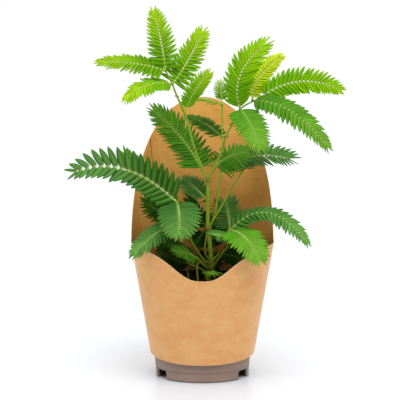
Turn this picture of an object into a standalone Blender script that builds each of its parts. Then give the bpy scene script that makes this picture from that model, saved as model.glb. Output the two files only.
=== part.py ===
"""Young everfresh tree in a nursery pot, with a kraft paper sleeve round the pot.

The origin is the middle of the pot's foot, +Z is up and the front is -Y. The pot, the
soil, the sleeve and the stems are each one solid. Each feathery pinna is one thin blade,
cut to its rib into leaflets, that starts just off the petiole it grows from.
"""

import math
import random
from typing import NamedTuple

import bmesh
import bpy
from mathutils import Vector

MM = 0.001
GAP = 0.3

# Pot, in millimetres: a 12 cm nursery pot.
FOOT_RADIUS = 42.5
FOOT_TOP = 17.0
FOOT_TOP_RADIUS = 43.6
BODY_RADIUS = 44.6
LIP_BOTTOM = 78.0
LIP_BOTTOM_RADIUS = 54.4
LIP_RADIUS = 56.6
POT_HEIGHT = 90.0
POT_WALL = 1.6
LIP_WALL = 2.2
CHANNEL_HEIGHT = 8.4
PAD_RADIUS = 15.0
FOOT_STEP = 0.3
FOOT_SHOULDER = 1.2
PAD_DRAFT = 1.4
LIP_UNDERCUT = 0.7
LIP_EDGE = 0.8
POT_SIDES = 36
NOTCH_ANGLES = (60.0, 180.0, 300.0)
NOTCH_WIDTH = 16.0
NOTCH_HEIGHT = 8.0
NOTCH_DEPTH = 6.0
DRAIN_RADIUS = 4.0
DRAIN_RING = 27.0
DRAIN_COUNT = 6
DRAIN_SIDES = 12
CUT_MARGIN = 3.0

# Soil, in millimetres.
SOIL_TOP = 84.0
SOIL_CROWN = 1.2
SOIL_CROWN_RADIUS = 30.0
SOIL_EDGE_GAP = 0.5
STEM_HOLE_SIDES = 8

# Sleeve, in millimetres: a cone of card, open at both ends.
SLEEVE_LOW = 22.0
SLEEVE_LOW_RADIUS = 47.8
SLEEVE_SLOPE = 0.175
SLEEVE_WALL = 0.8
SLEEVE_HEM_DIP = 5.4
SLEEVE_SIDES = 72
SCOOP_LOW = 93.4
SCOOP_RISE = 30.5
SCOOP_ANGLE = 29.5
SCOOP_POWER = 2.8
ARCH_RISE = 131.0
ARCH_SHAPE = (2.1, 1.95)
LAP_FROM = 218.0
LAP_TO = 230.0
LAP_WALL = 0.5

# Leaflets: share of the reach, angles in degrees and sizes in millimetres.
RIB_HALF_WIDTH = 0.7
RIB_HALF_HEIGHT = 0.7
BLADE_HALF = 0.32
STALK = 4.0
LEAFLET_SWEEP = (70.0, 34.0)
LEAFLET_SHOULDER = 0.8
LEAFLET_SHOULDER_LEAD = 0.06
LEAFLET_LEAD = 0.72
LEAFLET_SCATTER = 0.04
SWEEP_SCATTER = 2.0
FIRST_LEAFLET = 0.76
FULL_LEAFLET_FROM = 0.25
LEAFLETS_SHRINK_FROM = 0.5
LEAFLET_SHRINK = 0.42
END_LEAFLET = 0.55
RIB_TAPER = 0.4
RIB_STEPS = 60
SEED = 7

# Stems, in millimetres.
JOINT_RADIUS = 1.5
JOINT_GAP = GAP + 0.05


class Frond(NamedTuple):
    """One pinna: its rib through three points, the way its upper side looks and its size."""

    name: str
    root: tuple
    middle: tuple
    tip: tuple
    face: tuple
    reach: float
    pairs: int
    age: str
    droop: float = 0.0
    stalk: float = STALK


class Stem(NamedTuple):
    """One tapered stem or petiole: its centre line and its radius at both ends."""

    points: tuple
    start_radius: float
    end_radius: float
    sides: int = 6
    joint: bool = True


FRONDS = (
    Frond("pinna_01", (-33, -6, 277), (-37, -10, 303), (-45, -4, 336), (-0.1, -1, 0.1), 14, 16, "young"),
    Frond("pinna_02", (-27, -6, 265), (-8, 0, 291), (3, 12, 317), (0.1, -1, 0.3), 14, 16, "young", 0, 2.5),
    Frond("pinna_03", (-33, -6, 277), (-63, -11, 284), (-98, -14, 285), (0, -0.75, 0.66), 13, 15, "young"),
    Frond("pinna_04", (-27, -6, 265), (-49, -22, 264), (-71, -34, 248), (-0.2, -0.7, 0.7), 13, 13, "young", 0, 3),
    Frond("pinna_05", (-16, -6.5, 239), (-2, -19, 262), (11, -20, 277), (0.5, -0.85, 0.2), 11, 13, "young", 0, 6),
    Frond("pinna_06", (0, 0, 187), (-20, 16, 217), (-51, 14, 247), (0.2, -0.9, 0.4), 18, 16, "old"),
    Frond("pinna_07", (-23, -22, 160), (-74, -20, 189), (-124, -12, 186), (0.1, -0.95, 0.3), 18, 17, "old"),
    Frond("pinna_08", (-23, -22, 160), (-18, -50, 146), (-18, -62, 127), (0, -0.75, 0.66), 20, 15, "old"),
    Frond("pinna_09", (-21, -17, 144), (-47, -42, 129), (-63, -58, 112), (-0.2, -0.75, 0.65), 14, 13, "old"),
    Frond("pinna_10", (-21, -17, 144), (-42, -6, 152), (-55, 2, 166), (0.3, -0.9, 0.3), 13, 11, "old"),
    Frond("pinna_11", (-4, -13, 108), (-16, -26, 116), (-29, -38, 118), (-0.1, -0.7, 0.7), 13, 9, "old"),
    Frond("pinna_12", (10, -10, 96), (9, -22, 97), (9, -33, 94), (0, -0.4, 0.9), 10, 8, "grown", 0, 3),
    Frond("pinna_13", (34, -11, 243), (37, -22, 276), (62, -20, 305), (-0.35, -0.9, 0.2), 16, 17, "grown"),
    Frond("pinna_14", (45, -6.5, 250.6), (54, 13, 275), (77, 24, 294), (0.1, -0.85, 0.5), 11, 12, "young"),
    Frond("pinna_15", (52, -4, 253), (91, 5, 268), (132, 12, 257), (0, -1, -0.1), 15, 18, "young"),
    Frond("pinna_16", (47, -8, 250), (80, -27, 240), (114, -42, 205), (0.2, -0.75, 0.65), 16, 18, "grown", 0, 6),
    Frond("pinna_17", (34, -11, 243), (45, -40, 225), (53, -54, 202), (0.1, -0.85, 0.5), 16, 15, "grown"),
    Frond("pinna_18", (18, 8, 246), (17, 8, 259), (15, 8, 271), (-0.2, -0.95, 0.1), 8, 8, "young"),
    Frond("pinna_19", (18, 1, 217), (1, 24, 230), (-18, 34, 236), (0.2, -0.75, 0.62), 11, 12, "old"),
    Frond("pinna_20", (18, 8, 246), (4, 18, 251), (-7, 26, 252), (0, -0.15, 1), 8, 8, "grown"),
    Frond("pinna_21", (17, 0, 186), (50, 30, 199), (88, 24, 195), (0, -0.7, 0.7), 17, 15, "old", 0, 7),
    Frond("pinna_22", (11, -1, 189), (24, 10, 199), (48, 6, 205), (0, -0.75, 0.66), 15, 13, "old", 15),
    Frond("pinna_23", (25, -18, 134), (61, -22, 150), (96, -44, 121), (-0.1, -0.45, 0.85), 15, 17, "old"),
    Frond("pinna_24", (25, -18, 134), (42, -48, 130), (53, -64, 106), (0.2, -0.45, 0.87), 18, 15, "grown", 0, 6),
    Frond("pinna_25", (25, -18, 134), (16, -29, 131), (8, -37, 131), (-0.3, -0.8, 0.52), 12, 8, "old"),
    Frond("pinna_26", (25, -18, 134), (24, 10, 146), (20, 26, 164), (0, -0.65, 0.75), 12.5, 13, "old"),
    Frond("pinna_27", (15, 6, 110), (34, 16, 116), (53, 24, 118), (0, -0.4, 0.92), 13, 10, "old", 0, 8),
    Frond("pinna_28", (4, 2, 160), (-9, 16, 172), (-23, 24, 181), (0, -0.7, 0.7), 12, 9, "old"),
    Frond("pinna_29", (-13, -5, 102), (-30, -20, 110), (-40, -34, 118), (-0.2, -0.7, 0.7), 12, 9, "old"),
    Frond("pinna_30", (37, 12, 186), (44, 36, 196), (50, 52, 200), (0, -0.6, 0.8), 11, 10, "old"),
    Frond("pinna_31", (-7, 8, 106), (-30, 16, 116), (-48, 12, 126), (0, -0.7, 0.7), 12, 10, "old"),
    Frond("pinna_32", (-22, -20, 155), (-54, -4, 179), (-78, 4, 213), (-0.1, -0.9, 0.4), 10, 12, "grown"),
    Frond("pinna_33", (5, 2, 134), (-4, 18, 142), (-18, 30, 152), (0, -0.7, 0.7), 13, 9, "old"),
    Frond("pinna_34", (15, 6, 110), (31, -1, 108), (47, -8, 102), (0.1, -0.7, 0.7), 12, 8, "old"),
    Frond("pinna_35", (-13, -5, 102), (-33, -2, 102), (-51, 0, 108), (0, -0.7, 0.7), 12, 8, "old", 0, 6),
    Frond("pinna_36", (5, 2, 134), (-2, 8, 126), (-9, 12, 114), (0, -0.9, 0.4), 10, 7, "old", 0, 7),
    Frond("pinna_37", (5, 2, 134), (14, 8, 131), (25, 12, 126), (0, -0.9, 0.4), 10, 7, "old"),
    Frond("pinna_38", (4, 2, 160), (-9, 3, 153), (-20, 6, 140), (0, -0.9, 0.4), 12, 8, "old", 0, 7),
    Frond("pinna_39", (-7, 8, 106), (4, 20, 102), (22, 27, 101), (0, -0.95, 0.3), 13, 8, "old"),
    Frond("pinna_40", (15, 6, 110), (9, 19, 121), (5, 31, 131), (0, -0.7, 0.7), 12, 7, "old", 0, 9),
)

TRUNK = Stem(
    ((5, 0, 62), (5, 0, 86), (8, 0, 100), (7, 0, 118), (5, 0, 135), (5, 1, 160), (5, 0, 179)),
    2.4,
    1.5,
    8,
)
BRANCHES = (
    Stem(
        ((5, 0, 178), (2, -1, 184), (-8, -2, 210), (-14, -5, 233), (-24, -6, 257), (-27, -6, 265), (-33, -6, 277)),
        1.4,
        0.8,
    ),
    Stem(
        ((5, 0, 178), (8, -1, 185), (16, -3, 201), (21, -5, 217), (26, -8, 228), (34, -11, 243), (52, -4, 253)),
        1.3,
        0.8,
    ),
    Stem(((19, -4, 211), (18, 1, 217), (18, 5, 230), (18, 8, 246)), 0.8, 0.7, 5),
    Stem(((6, 0, 131), (12, 2, 150), (15, 2, 172), (17, 0, 186)), 1.2, 0.9),
    Stem(((5, 0, 134), (13, 0, 147), (25, 5, 167), (37, 12, 186)), 1.1, 0.8),
    Stem(((7, 0, 94), (16, -6, 109), (24, -12, 121), (25, -18, 134)), 1.1, 0.8),
    Stem(((7, 0, 102), (0, -3, 107), (-11, -11, 125), (-21, -17, 144), (-23, -22, 160)), 1.1, 0.8),
    Stem(((7, 0, 96), (2, -7, 103), (-4, -13, 108)), 0.9, 0.7, 5),
    Stem(((6, 0, 90), (9, -5, 94), (10, -10, 96)), 0.8, 0.7, 5),
    Stem(((7, 0, 98), (11, 3, 106), (15, 6, 110)), 0.9, 0.7, 5),
    Stem(((6, 0, 92), (-3, -2, 98), (-13, -5, 102)), 0.9, 0.7, 5),
    Stem(((7, 0, 95), (0, 4, 101), (-7, 8, 106)), 0.9, 0.7, 5),
    Stem(((7, 0, 104), (2, -3, 114), (4.5, -4, 131)), 0.8, 0.6, 5, False),
)
SHOOTS = (
    ("shoot_left", Stem(((-4, -18, 66), (-4, -17, 86), (-5, -15, 100), (-3, -14, 105)), 0.9, 0.6, 6, False)),
    ("shoot_outer", Stem(((-12, -22, 68), (-12, -21, 86), (-14, -19, 100)), 0.8, 0.5, 6, False)),
)


def clear_scene():
    """Remove every object that the file starts with."""
    for existing in list(bpy.data.objects):
        bpy.data.objects.remove(existing, do_unlink=True)


def make_material(name, colour, roughness):
    """Return a Principled material of one colour."""
    material = bpy.data.materials.new(name)
    material.use_nodes = True
    shader = material.node_tree.nodes["Principled BSDF"]
    shader.inputs["Base Color"].default_value = (*colour, 1.0)
    shader.inputs["Roughness"].default_value = roughness
    shader.inputs["Metallic"].default_value = 0.0
    return material


def add_object(name, mesh, material):
    """Link a mesh to the scene as a named object with one material."""
    part = bpy.data.objects.new(name, mesh)
    mesh.materials.append(material)
    bpy.context.scene.collection.objects.link(part)
    return part


def finish_mesh(name, shape, smooth_angle=None):
    """Turn a bmesh in millimetres into a mesh in metres with its faces pointing out."""
    bmesh.ops.scale(shape, vec=(MM, MM, MM), verts=shape.verts)
    bmesh.ops.recalc_face_normals(shape, faces=shape.faces)
    mesh = bpy.data.meshes.new(name)
    shape.to_mesh(mesh)
    shape.free()
    if smooth_angle is not None:
        mesh.shade_smooth()
        mesh.set_sharp_from_angle(angle=math.radians(smooth_angle))
    return mesh


def revolve(profile, sides):
    """Return a closed turned body from a profile that runs from axis to axis."""
    shape = bmesh.new()
    rings = []
    for radius, height in profile:
        if radius == 0.0:
            rings.append([shape.verts.new((0.0, 0.0, height))])
            continue
        turns = (2.0 * math.pi * step / sides for step in range(sides))
        rings.append([shape.verts.new((radius * math.cos(a), radius * math.sin(a), height)) for a in turns])
    for lower, upper in zip(rings, rings[1:]):
        for step in range(sides):
            after = (step + 1) % sides
            if len(lower) == 1:
                shape.faces.new((lower[0], upper[step], upper[after]))
            elif len(upper) == 1:
                shape.faces.new((lower[step], lower[after], upper[0]))
            else:
                shape.faces.new((lower[step], lower[after], upper[after], upper[step]))
    return shape


def add_cutter(name, shape):
    """Add a tool body for a Boolean, hidden from renders."""
    cutter = bpy.data.objects.new(name, finish_mesh(name, shape))
    bpy.context.scene.collection.objects.link(cutter)
    cutter.hide_render = True
    cutter.display_type = "WIRE"
    return cutter


def cut(part, cutter):
    """Cut one body out of a part with a live Boolean."""
    modifier = part.modifiers.new(cutter.name, "BOOLEAN")
    modifier.operation = "DIFFERENCE"
    modifier.solver = "EXACT"
    modifier.object = cutter


def box_between(shape, low, high, turn):
    """Add a box from low to high, turned about the vertical axis."""
    corners = bmesh.ops.create_cube(shape, size=1.0)["verts"]
    for corner in corners:
        spot = Vector([low[i] + (corner.co[i] + 0.5) * (high[i] - low[i]) for i in range(3)])
        x = spot.x * math.cos(turn) - spot.y * math.sin(turn)
        y = spot.x * math.sin(turn) + spot.y * math.cos(turn)
        corner.co = (x, y, spot.z)


def inside_foot_radius():
    """Return the radius of the pot's inside at its floor."""
    return FOOT_TOP_RADIUS - POT_WALL - FOOT_STEP


def inside_pad_radius():
    """Return the radius of the hollow inside the middle pad, at its bottom."""
    return PAD_RADIUS - POT_WALL + FOOT_STEP


def pot_profile():
    """Return the pot's section: out along the underside, up the wall and back inside."""
    floor = CHANNEL_HEIGHT + POT_WALL
    return (
        (0.0, 0.0),
        (PAD_RADIUS, 0.0),
        (PAD_RADIUS + PAD_DRAFT, CHANNEL_HEIGHT),
        (FOOT_RADIUS - POT_WALL + FOOT_STEP, CHANNEL_HEIGHT),
        (FOOT_RADIUS - POT_WALL, 0.0),
        (FOOT_RADIUS, 0.0),
        (FOOT_RADIUS + FOOT_STEP, CHANNEL_HEIGHT),
        (FOOT_RADIUS + 2.0 * FOOT_STEP, CHANNEL_HEIGHT + FOOT_STEP),
        (FOOT_TOP_RADIUS, FOOT_TOP),
        (BODY_RADIUS, FOOT_TOP + FOOT_SHOULDER),
        (LIP_BOTTOM_RADIUS, LIP_BOTTOM),
        (LIP_RADIUS - FOOT_STEP, LIP_BOTTOM + LIP_UNDERCUT),
        (LIP_RADIUS, POT_HEIGHT - LIP_EDGE),
        (LIP_RADIUS - LIP_EDGE, POT_HEIGHT),
        (LIP_RADIUS - LIP_WALL, POT_HEIGHT),
        (LIP_BOTTOM_RADIUS - POT_WALL, LIP_BOTTOM),
        (inside_foot_radius(), floor),
        (inside_pad_radius() + PAD_DRAFT, floor),
        (inside_pad_radius(), POT_WALL),
        (0.0, POT_WALL),
    )


def build_pot(material):
    """Build the pot with its foot notches and drain holes."""
    pot = add_object("pot", finish_mesh("pot", revolve(pot_profile(), POT_SIDES), 35.0), material)
    notches = bmesh.new()
    for angle in NOTCH_ANGLES:
        low = (-NOTCH_WIDTH / 2, -FOOT_RADIUS - CUT_MARGIN, -CUT_MARGIN)
        high = (NOTCH_WIDTH / 2, -FOOT_RADIUS + NOTCH_DEPTH, NOTCH_HEIGHT)
        box_between(notches, low, high, math.radians(angle))
    cut(pot, add_cutter("notch_tool", notches))
    drains = bmesh.new()
    for step in range(DRAIN_COUNT):
        angle = 2.0 * math.pi * (step + 0.5) / DRAIN_COUNT
        made = bmesh.ops.create_cone(
            drains,
            cap_ends=True,
            segments=DRAIN_SIDES,
            radius1=DRAIN_RADIUS,
            radius2=DRAIN_RADIUS,
            depth=POT_WALL + 2.0 * CUT_MARGIN,
        )
        middle = CHANNEL_HEIGHT + 0.5 * POT_WALL
        spot = (DRAIN_RING * math.cos(angle), DRAIN_RING * math.sin(angle), middle)
        bmesh.ops.translate(drains, verts=made["verts"], vec=spot)
    cut(pot, add_cutter("drain_tool", drains))
    return pot


def soil_profile():
    """Return the soil's section: the pot's inside less a small gap, with a low crown."""
    floor = CHANNEL_HEIGHT + POT_WALL + GAP
    pad = inside_pad_radius() - GAP
    wall_low = inside_foot_radius() - GAP
    wall_high = LIP_BOTTOM_RADIUS - POT_WALL - GAP
    slope = (LIP_RADIUS - LIP_WALL - wall_high) / (POT_HEIGHT - LIP_BOTTOM)
    return (
        (0.0, POT_WALL + GAP),
        (pad, POT_WALL + GAP),
        (pad + PAD_DRAFT, floor),
        (wall_low, floor),
        (wall_high, LIP_BOTTOM),
        (wall_high + slope * (SOIL_TOP - LIP_BOTTOM) - SOIL_EDGE_GAP, SOIL_TOP),
        (SOIL_CROWN_RADIUS, SOIL_TOP + 0.7 * SOIL_CROWN),
        (0.0, SOIL_TOP + SOIL_CROWN),
    )


def build_soil(material, stems):
    """Build the soil that fills the pot, with a plain hole for each stem."""
    soil = add_object("soil", finish_mesh("soil", revolve(soil_profile(), POT_SIDES), 35.0), material)
    holes = bmesh.new()
    for stem in stems:
        foot = Vector(stem.points[0]) - Vector((0, 0, GAP))
        above = Vector(stem.points[1]) + Vector((0, 0, CUT_MARGIN))
        add_tube(holes, (foot, above), stem.start_radius + GAP, stem.start_radius + GAP, STEM_HOLE_SIDES)
    cut(soil, add_cutter("stem_hole_tool", holes))
    return soil


def sleeve_top(angle):
    """Return the height of the sleeve's upper edge at an angle from the front, in degrees."""
    side = min(angle, 360.0 - angle)
    if side <= 90.0:
        near = (side / SCOOP_ANGLE) ** SCOOP_POWER
        return SCOOP_LOW + SCOOP_RISE * near / (1.0 + near)
    corner = (90.0 / SCOOP_ANGLE) ** SCOOP_POWER
    start = SCOOP_LOW + SCOOP_RISE * corner / (1.0 + corner)
    share = 1.0 - ((180.0 - side) / 90.0) ** ARCH_SHAPE[0]
    return start + ARCH_RISE * share ** ARCH_SHAPE[1]


def sleeve_bottom(angle):
    """Return the height of the sleeve's lower edge at an angle from the front, in degrees."""
    return SLEEVE_LOW - SLEEVE_HEM_DIP * abs(math.cos(math.radians(angle)))


def sleeve_radius(height):
    """Return the sleeve's outer radius at a height."""
    return SLEEVE_LOW_RADIUS + SLEEVE_SLOPE * (height - SLEEVE_LOW)


def sleeve_point(angle, height, wall):
    """Return a point on the sleeve, a wall's thickness inside its outer face."""
    radius = sleeve_radius(height) - wall
    turn = math.radians(angle)
    return (radius * math.sin(turn), -radius * math.cos(turn), height)


def sleeve_stations():
    """Return the angles round the sleeve, each with the wall there, the glued lap thicker."""
    stations = [(360.0 * step / SLEEVE_SIDES, SLEEVE_WALL) for step in range(SLEEVE_SIDES)]
    stations = [(a, w + LAP_WALL if LAP_FROM < a < LAP_TO else w) for a, w in stations]
    edges = ((LAP_FROM, 0.0), (LAP_FROM + 0.3, LAP_WALL), (LAP_TO - 0.3, LAP_WALL), (LAP_TO, 0.0))
    stations = [(a, w) for a, w in stations if min(abs(a - edge) for edge, _ in edges) > 0.5]
    stations += [(a, SLEEVE_WALL + extra) for a, extra in edges]
    return sorted(stations)


def build_sleeve(material):
    """Build the card sleeve: low scooped front, tall arched back and a glued lap."""
    shape = bmesh.new()
    loops = []
    for angle, wall in sleeve_stations():
        low = sleeve_bottom(angle)
        high = sleeve_top(angle)
        spots = ((low, 0.0), (high, 0.0), (high, wall), (low, wall))
        loops.append([shape.verts.new(sleeve_point(angle, height, inside)) for height, inside in spots])
    for here, after in zip(loops, loops[1:] + loops[:1]):
        for side in range(4):
            up = (side + 1) % 4
            shape.faces.new((here[side], after[side], after[up], here[up]))
    return add_object("sleeve", finish_mesh("sleeve", shape, 30.0), material)


def frame_along(direction):
    """Return two unit vectors square to a direction and to each other."""
    helper = Vector((0.0, 1.0, 0.0)) if abs(direction.y) < 0.8 else Vector((1.0, 0.0, 0.0))
    across = direction.cross(helper).normalized()
    return across, direction.cross(across).normalized()


def add_tube(shape, points, start_radius, end_radius, sides):
    """Add a closed tapered tube along a run of points."""
    spots = [Vector(point) for point in points]
    rings = []
    for index, spot in enumerate(spots):
        before = spots[max(index - 1, 0)]
        after = spots[min(index + 1, len(spots) - 1)]
        across, over = frame_along((after - before).normalized())
        radius = start_radius + (end_radius - start_radius) * index / (len(spots) - 1)
        turns = (2.0 * math.pi * side / sides for side in range(sides))
        ways = (math.cos(a) * across + math.sin(a) * over for a in turns)
        rings.append([shape.verts.new(spot + radius * way) for way in ways])
    for lower, upper in zip(rings, rings[1:]):
        for side in range(sides):
            after = (side + 1) % sides
            shape.faces.new((lower[side], lower[after], upper[after], upper[side]))
    shape.faces.new(list(reversed(rings[0])))
    shape.faces.new(rings[-1])


def stem_piece(name, stem):
    """Make one tube, with the small swelling at its end that pinnae grow from."""
    shape = bmesh.new()
    add_tube(shape, stem.points, stem.start_radius, stem.end_radius, stem.sides)
    piece = bpy.data.objects.new(name, finish_mesh(name, shape))
    pieces = [piece]
    if stem.joint:
        ball = bmesh.new()
        made = bmesh.ops.create_icosphere(ball, subdivisions=1, radius=JOINT_RADIUS)
        bmesh.ops.translate(ball, verts=made["verts"], vec=stem.points[-1])
        pieces.append(bpy.data.objects.new(name + "_joint", finish_mesh(name + "_joint", ball)))
    return pieces


def joint_balls():
    """Return the places along the stems, apart from their ends, where pinnae grow."""
    ends = {tuple(stem.points[-1]) for stem in BRANCHES}
    return sorted({frond.root for frond in FRONDS if frond.root not in ends})


def build_stems(material):
    """Join the trunk, its branches and every petiole into one solid."""
    gathered = bpy.data.collections.new("stem_pieces")
    bpy.context.scene.collection.children.link(gathered)
    pieces = stem_piece("trunk", TRUNK)
    for index, stem in enumerate(BRANCHES):
        pieces += stem_piece(f"branch_{index:02d}", stem)
    for index, spot in enumerate(joint_balls()):
        ball = bmesh.new()
        made = bmesh.ops.create_icosphere(ball, subdivisions=1, radius=JOINT_RADIUS)
        bmesh.ops.translate(ball, verts=made["verts"], vec=spot)
        name = f"node_{index:02d}"
        pieces.append(bpy.data.objects.new(name, finish_mesh(name, ball)))
    trunk = pieces.pop(0)
    for piece in pieces:
        gathered.objects.link(piece)
    stems = add_object("stems", trunk.data, material)
    bpy.data.objects.remove(trunk)
    join = stems.modifiers.new("join", "BOOLEAN")
    join.operation = "UNION"
    join.solver = "EXACT"
    join.operand_type = "COLLECTION"
    join.collection = gathered
    graph = bpy.context.evaluated_depsgraph_get()
    joined = bpy.data.meshes.new_from_object(stems.evaluated_get(graph))
    stems.modifiers.clear()
    stems.data = joined
    for piece in pieces:
        bpy.data.objects.remove(piece, do_unlink=True)
    bpy.data.collections.remove(gathered)
    joined.materials.clear()
    joined.materials.append(material)
    joined.shade_smooth()
    joined.set_sharp_from_angle(angle=math.radians(50.0))
    return stems


def build_shoot(name, stem, material):
    """Build one slender shoot that stands in the soil by itself."""
    shape = bmesh.new()
    add_tube(shape, stem.points, stem.start_radius, stem.end_radius, stem.sides)
    return add_object(name, finish_mesh(name, shape, 50.0), material)


class Rib:
    """The curve of a pinna's rib through its root, middle and tip, walked by length."""

    def __init__(self, frond):
        self.root = Vector(frond.root)
        self.tip = Vector(frond.tip)
        self.pull = 2.0 * Vector(frond.middle) - 0.5 * (self.root + self.tip)
        self.face = Vector(frond.face).normalized()
        spots = [self.at(step / RIB_STEPS) for step in range(RIB_STEPS + 1)]
        self.lengths = [0.0]
        for before, after in zip(spots, spots[1:]):
            self.lengths.append(self.lengths[-1] + (after - before).length)

    def at(self, share):
        """Return the point at a share of the curve's own parameter."""
        back = 1.0 - share
        return back * back * self.root + 2.0 * share * back * self.pull + share * share * self.tip

    def walk(self, distance):
        """Return the point, the way ahead, the way to the right and the way up at a length."""
        step = max(1, sum(1 for length in self.lengths[1:-1] if length < distance) + 1)
        span = self.lengths[step] - self.lengths[step - 1]
        share = (step - 1 + (distance - self.lengths[step - 1]) / span) / RIB_STEPS
        ahead = ((1.0 - share) * (self.pull - self.root) + share * (self.tip - self.pull)).normalized()
        right = ahead.cross(self.face).normalized()
        return self.at(share), ahead, right, right.cross(ahead)


def leaflet_length(share):
    """Return a leaflet's length, as a share of the reach, along the rib."""
    rise = FIRST_LEAFLET + (1.0 - FIRST_LEAFLET) * min(1.0, share / FULL_LEAFLET_FROM)
    fall = max(0.0, (share - LEAFLETS_SHRINK_FROM) / (1.0 - LEAFLETS_SHRINK_FROM))
    return rise * (1.0 - LEAFLET_SHRINK * fall * fall)


class Blade:
    """A thin closed sheet: each point is kept as an upper and a lower corner."""

    def __init__(self):
        self.shape = bmesh.new()

    def corner(self, spot, up, half):
        """Add the upper and the lower corner of one point."""
        return self.shape.verts.new(spot + half * up), self.shape.verts.new(spot - half * up)

    def fill(self, *corners):
        """Close one flat piece on both faces, as the same triangles."""
        for index in range(1, len(corners) - 1):
            trio = (corners[0], corners[index], corners[index + 1])
            self.shape.faces.new([pair[0] for pair in trio])
            self.shape.faces.new([pair[1] for pair in reversed(trio)])

    def edge(self, *corners):
        """Close the sheet's rim along a run of corners."""
        for here, after in zip(corners, corners[1:]):
            self.shape.faces.new((here[0], here[1], after[1]))
            self.shape.faces.new((here[0], after[1], after[0]))


def add_leaflet(blade, rib, frond, side, low, high, span, draw):
    """Add one leaflet between two corners of the rib."""
    (low_at, low_corner), (high_at, high_corner) = low, high
    centre = 0.5 * (low_at + high_at)
    share = (centre - span[0]) / (span[1] - span[0])
    _, ahead, right, up = rib.walk(centre)
    sweep = math.radians(LEAFLET_SWEEP[0] + (LEAFLET_SWEEP[1] - LEAFLET_SWEEP[0]) * share ** 2)
    sweep += math.radians(draw.uniform(-SWEEP_SCATTER, SWEEP_SCATTER))
    length = frond.reach * leaflet_length(share) * (1.0 + draw.uniform(-LEAFLET_SCATTER, LEAFLET_SCATTER))
    sink = math.radians(frond.droop)
    out = math.cos(sink) * side * right - math.sin(sink) * up
    along = math.cos(sweep) * ahead + math.sin(sweep) * out
    lift = math.cos(sink) * up + math.sin(sink) * side * right
    low_spot, _, low_right, _ = rib.walk(low_at)
    start = low_spot + side * RIB_HALF_WIDTH * low_right
    pitch = high_at - low_at
    shoulder = start + LEAFLET_SHOULDER * length * along + LEAFLET_SHOULDER_LEAD * pitch * ahead
    point = start + length * along + LEAFLET_LEAD * pitch * ahead
    shoulder_corner = blade.corner(shoulder, lift, BLADE_HALF)
    point_corner = blade.corner(point, lift, BLADE_HALF)
    blade.fill(low_corner, shoulder_corner, point_corner, high_corner)
    blade.edge(low_corner, shoulder_corner, point_corner, high_corner)


def build_frond(frond, material, draw):
    """Build one pinna: a rib with a bare stalk, leaflets in pairs and one at the end."""
    rib = Rib(frond)
    blade = Blade()
    start = JOINT_RADIUS + JOINT_GAP
    total = rib.lengths[-1] - END_LEAFLET * frond.reach
    first = start + frond.stalk
    stations = [start] + [first + (total - first) * step / frond.pairs for step in range(frond.pairs + 1)]
    rights = []
    lefts = []
    for index, distance in enumerate(stations):
        spot, _, right, up = rib.walk(distance)
        thin = 1.0 - RIB_TAPER * index / len(stations)
        half = RIB_HALF_HEIGHT * thin
        rights.append((distance, blade.corner(spot + RIB_HALF_WIDTH * right, up, half)))
        lefts.append((distance, blade.corner(spot - RIB_HALF_WIDTH * right, up, half)))
    for index in range(len(stations) - 1):
        blade.fill(rights[index][1], rights[index + 1][1], lefts[index + 1][1], lefts[index][1])
    blade.edge(lefts[1][1], lefts[0][1], rights[0][1], rights[1][1])
    span = (first, total)
    for index in range(1, len(stations) - 1):
        add_leaflet(blade, rib, frond, 1.0, rights[index], rights[index + 1], span, draw)
        add_leaflet(blade, rib, frond, -1.0, lefts[index], lefts[index + 1], span, draw)
    spot, ahead, _, up = rib.walk(total)
    end = blade.corner(spot + END_LEAFLET * frond.reach * ahead, up, BLADE_HALF)
    blade.fill(rights[-1][1], end, lefts[-1][1])
    blade.edge(rights[-1][1], end, lefts[-1][1])
    return add_object(frond.name, finish_mesh(frond.name, blade.shape), material)


def build():
    """Build the whole object."""
    clear_scene()
    plastic = make_material("pot_plastic", (0.30, 0.22, 0.17), 0.55)
    earth = make_material("soil", (0.03, 0.02, 0.015), 0.95)
    kraft = make_material("kraft_paper", (0.74, 0.46, 0.22), 0.8)
    green = make_material("green_stem", (0.33, 0.42, 0.06), 0.5)
    leaves = {
        "young": make_material("leaf_young", (0.30, 0.58, 0.02), 0.45),
        "grown": make_material("leaf_grown", (0.10, 0.38, 0.03), 0.45),
        "old": make_material("leaf_old", (0.03, 0.16, 0.04), 0.5),
    }
    draw = random.Random(SEED)
    build_pot(plastic)
    standing = [TRUNK] + [stem for _, stem in SHOOTS]
    build_soil(earth, standing)
    build_sleeve(kraft)
    build_stems(green)
    for name, stem in SHOOTS:
        build_shoot(name, stem, green)
    for frond in FRONDS:
        build_frond(frond, leaves[frond.age], draw)


build()
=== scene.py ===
"""Looks of a potted everfresh tree: a young tree with feathery leaves, in a nursery pot
with a kraft paper sleeve round it.

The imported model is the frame, and every piece here stands for one of its nodes, in the
same place. Pieces are modelled in millimetres and turned into metres when they are done.
The origin is the middle of the pot's foot, +Z is up and the front is -Y.
"""

from __future__ import annotations

import logging
import math
import random
from dataclasses import dataclass, field
from enum import Enum
from typing import Callable, Iterable, Sequence, Union

import bpy
from mathutils import Matrix, Vector, noise


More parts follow.
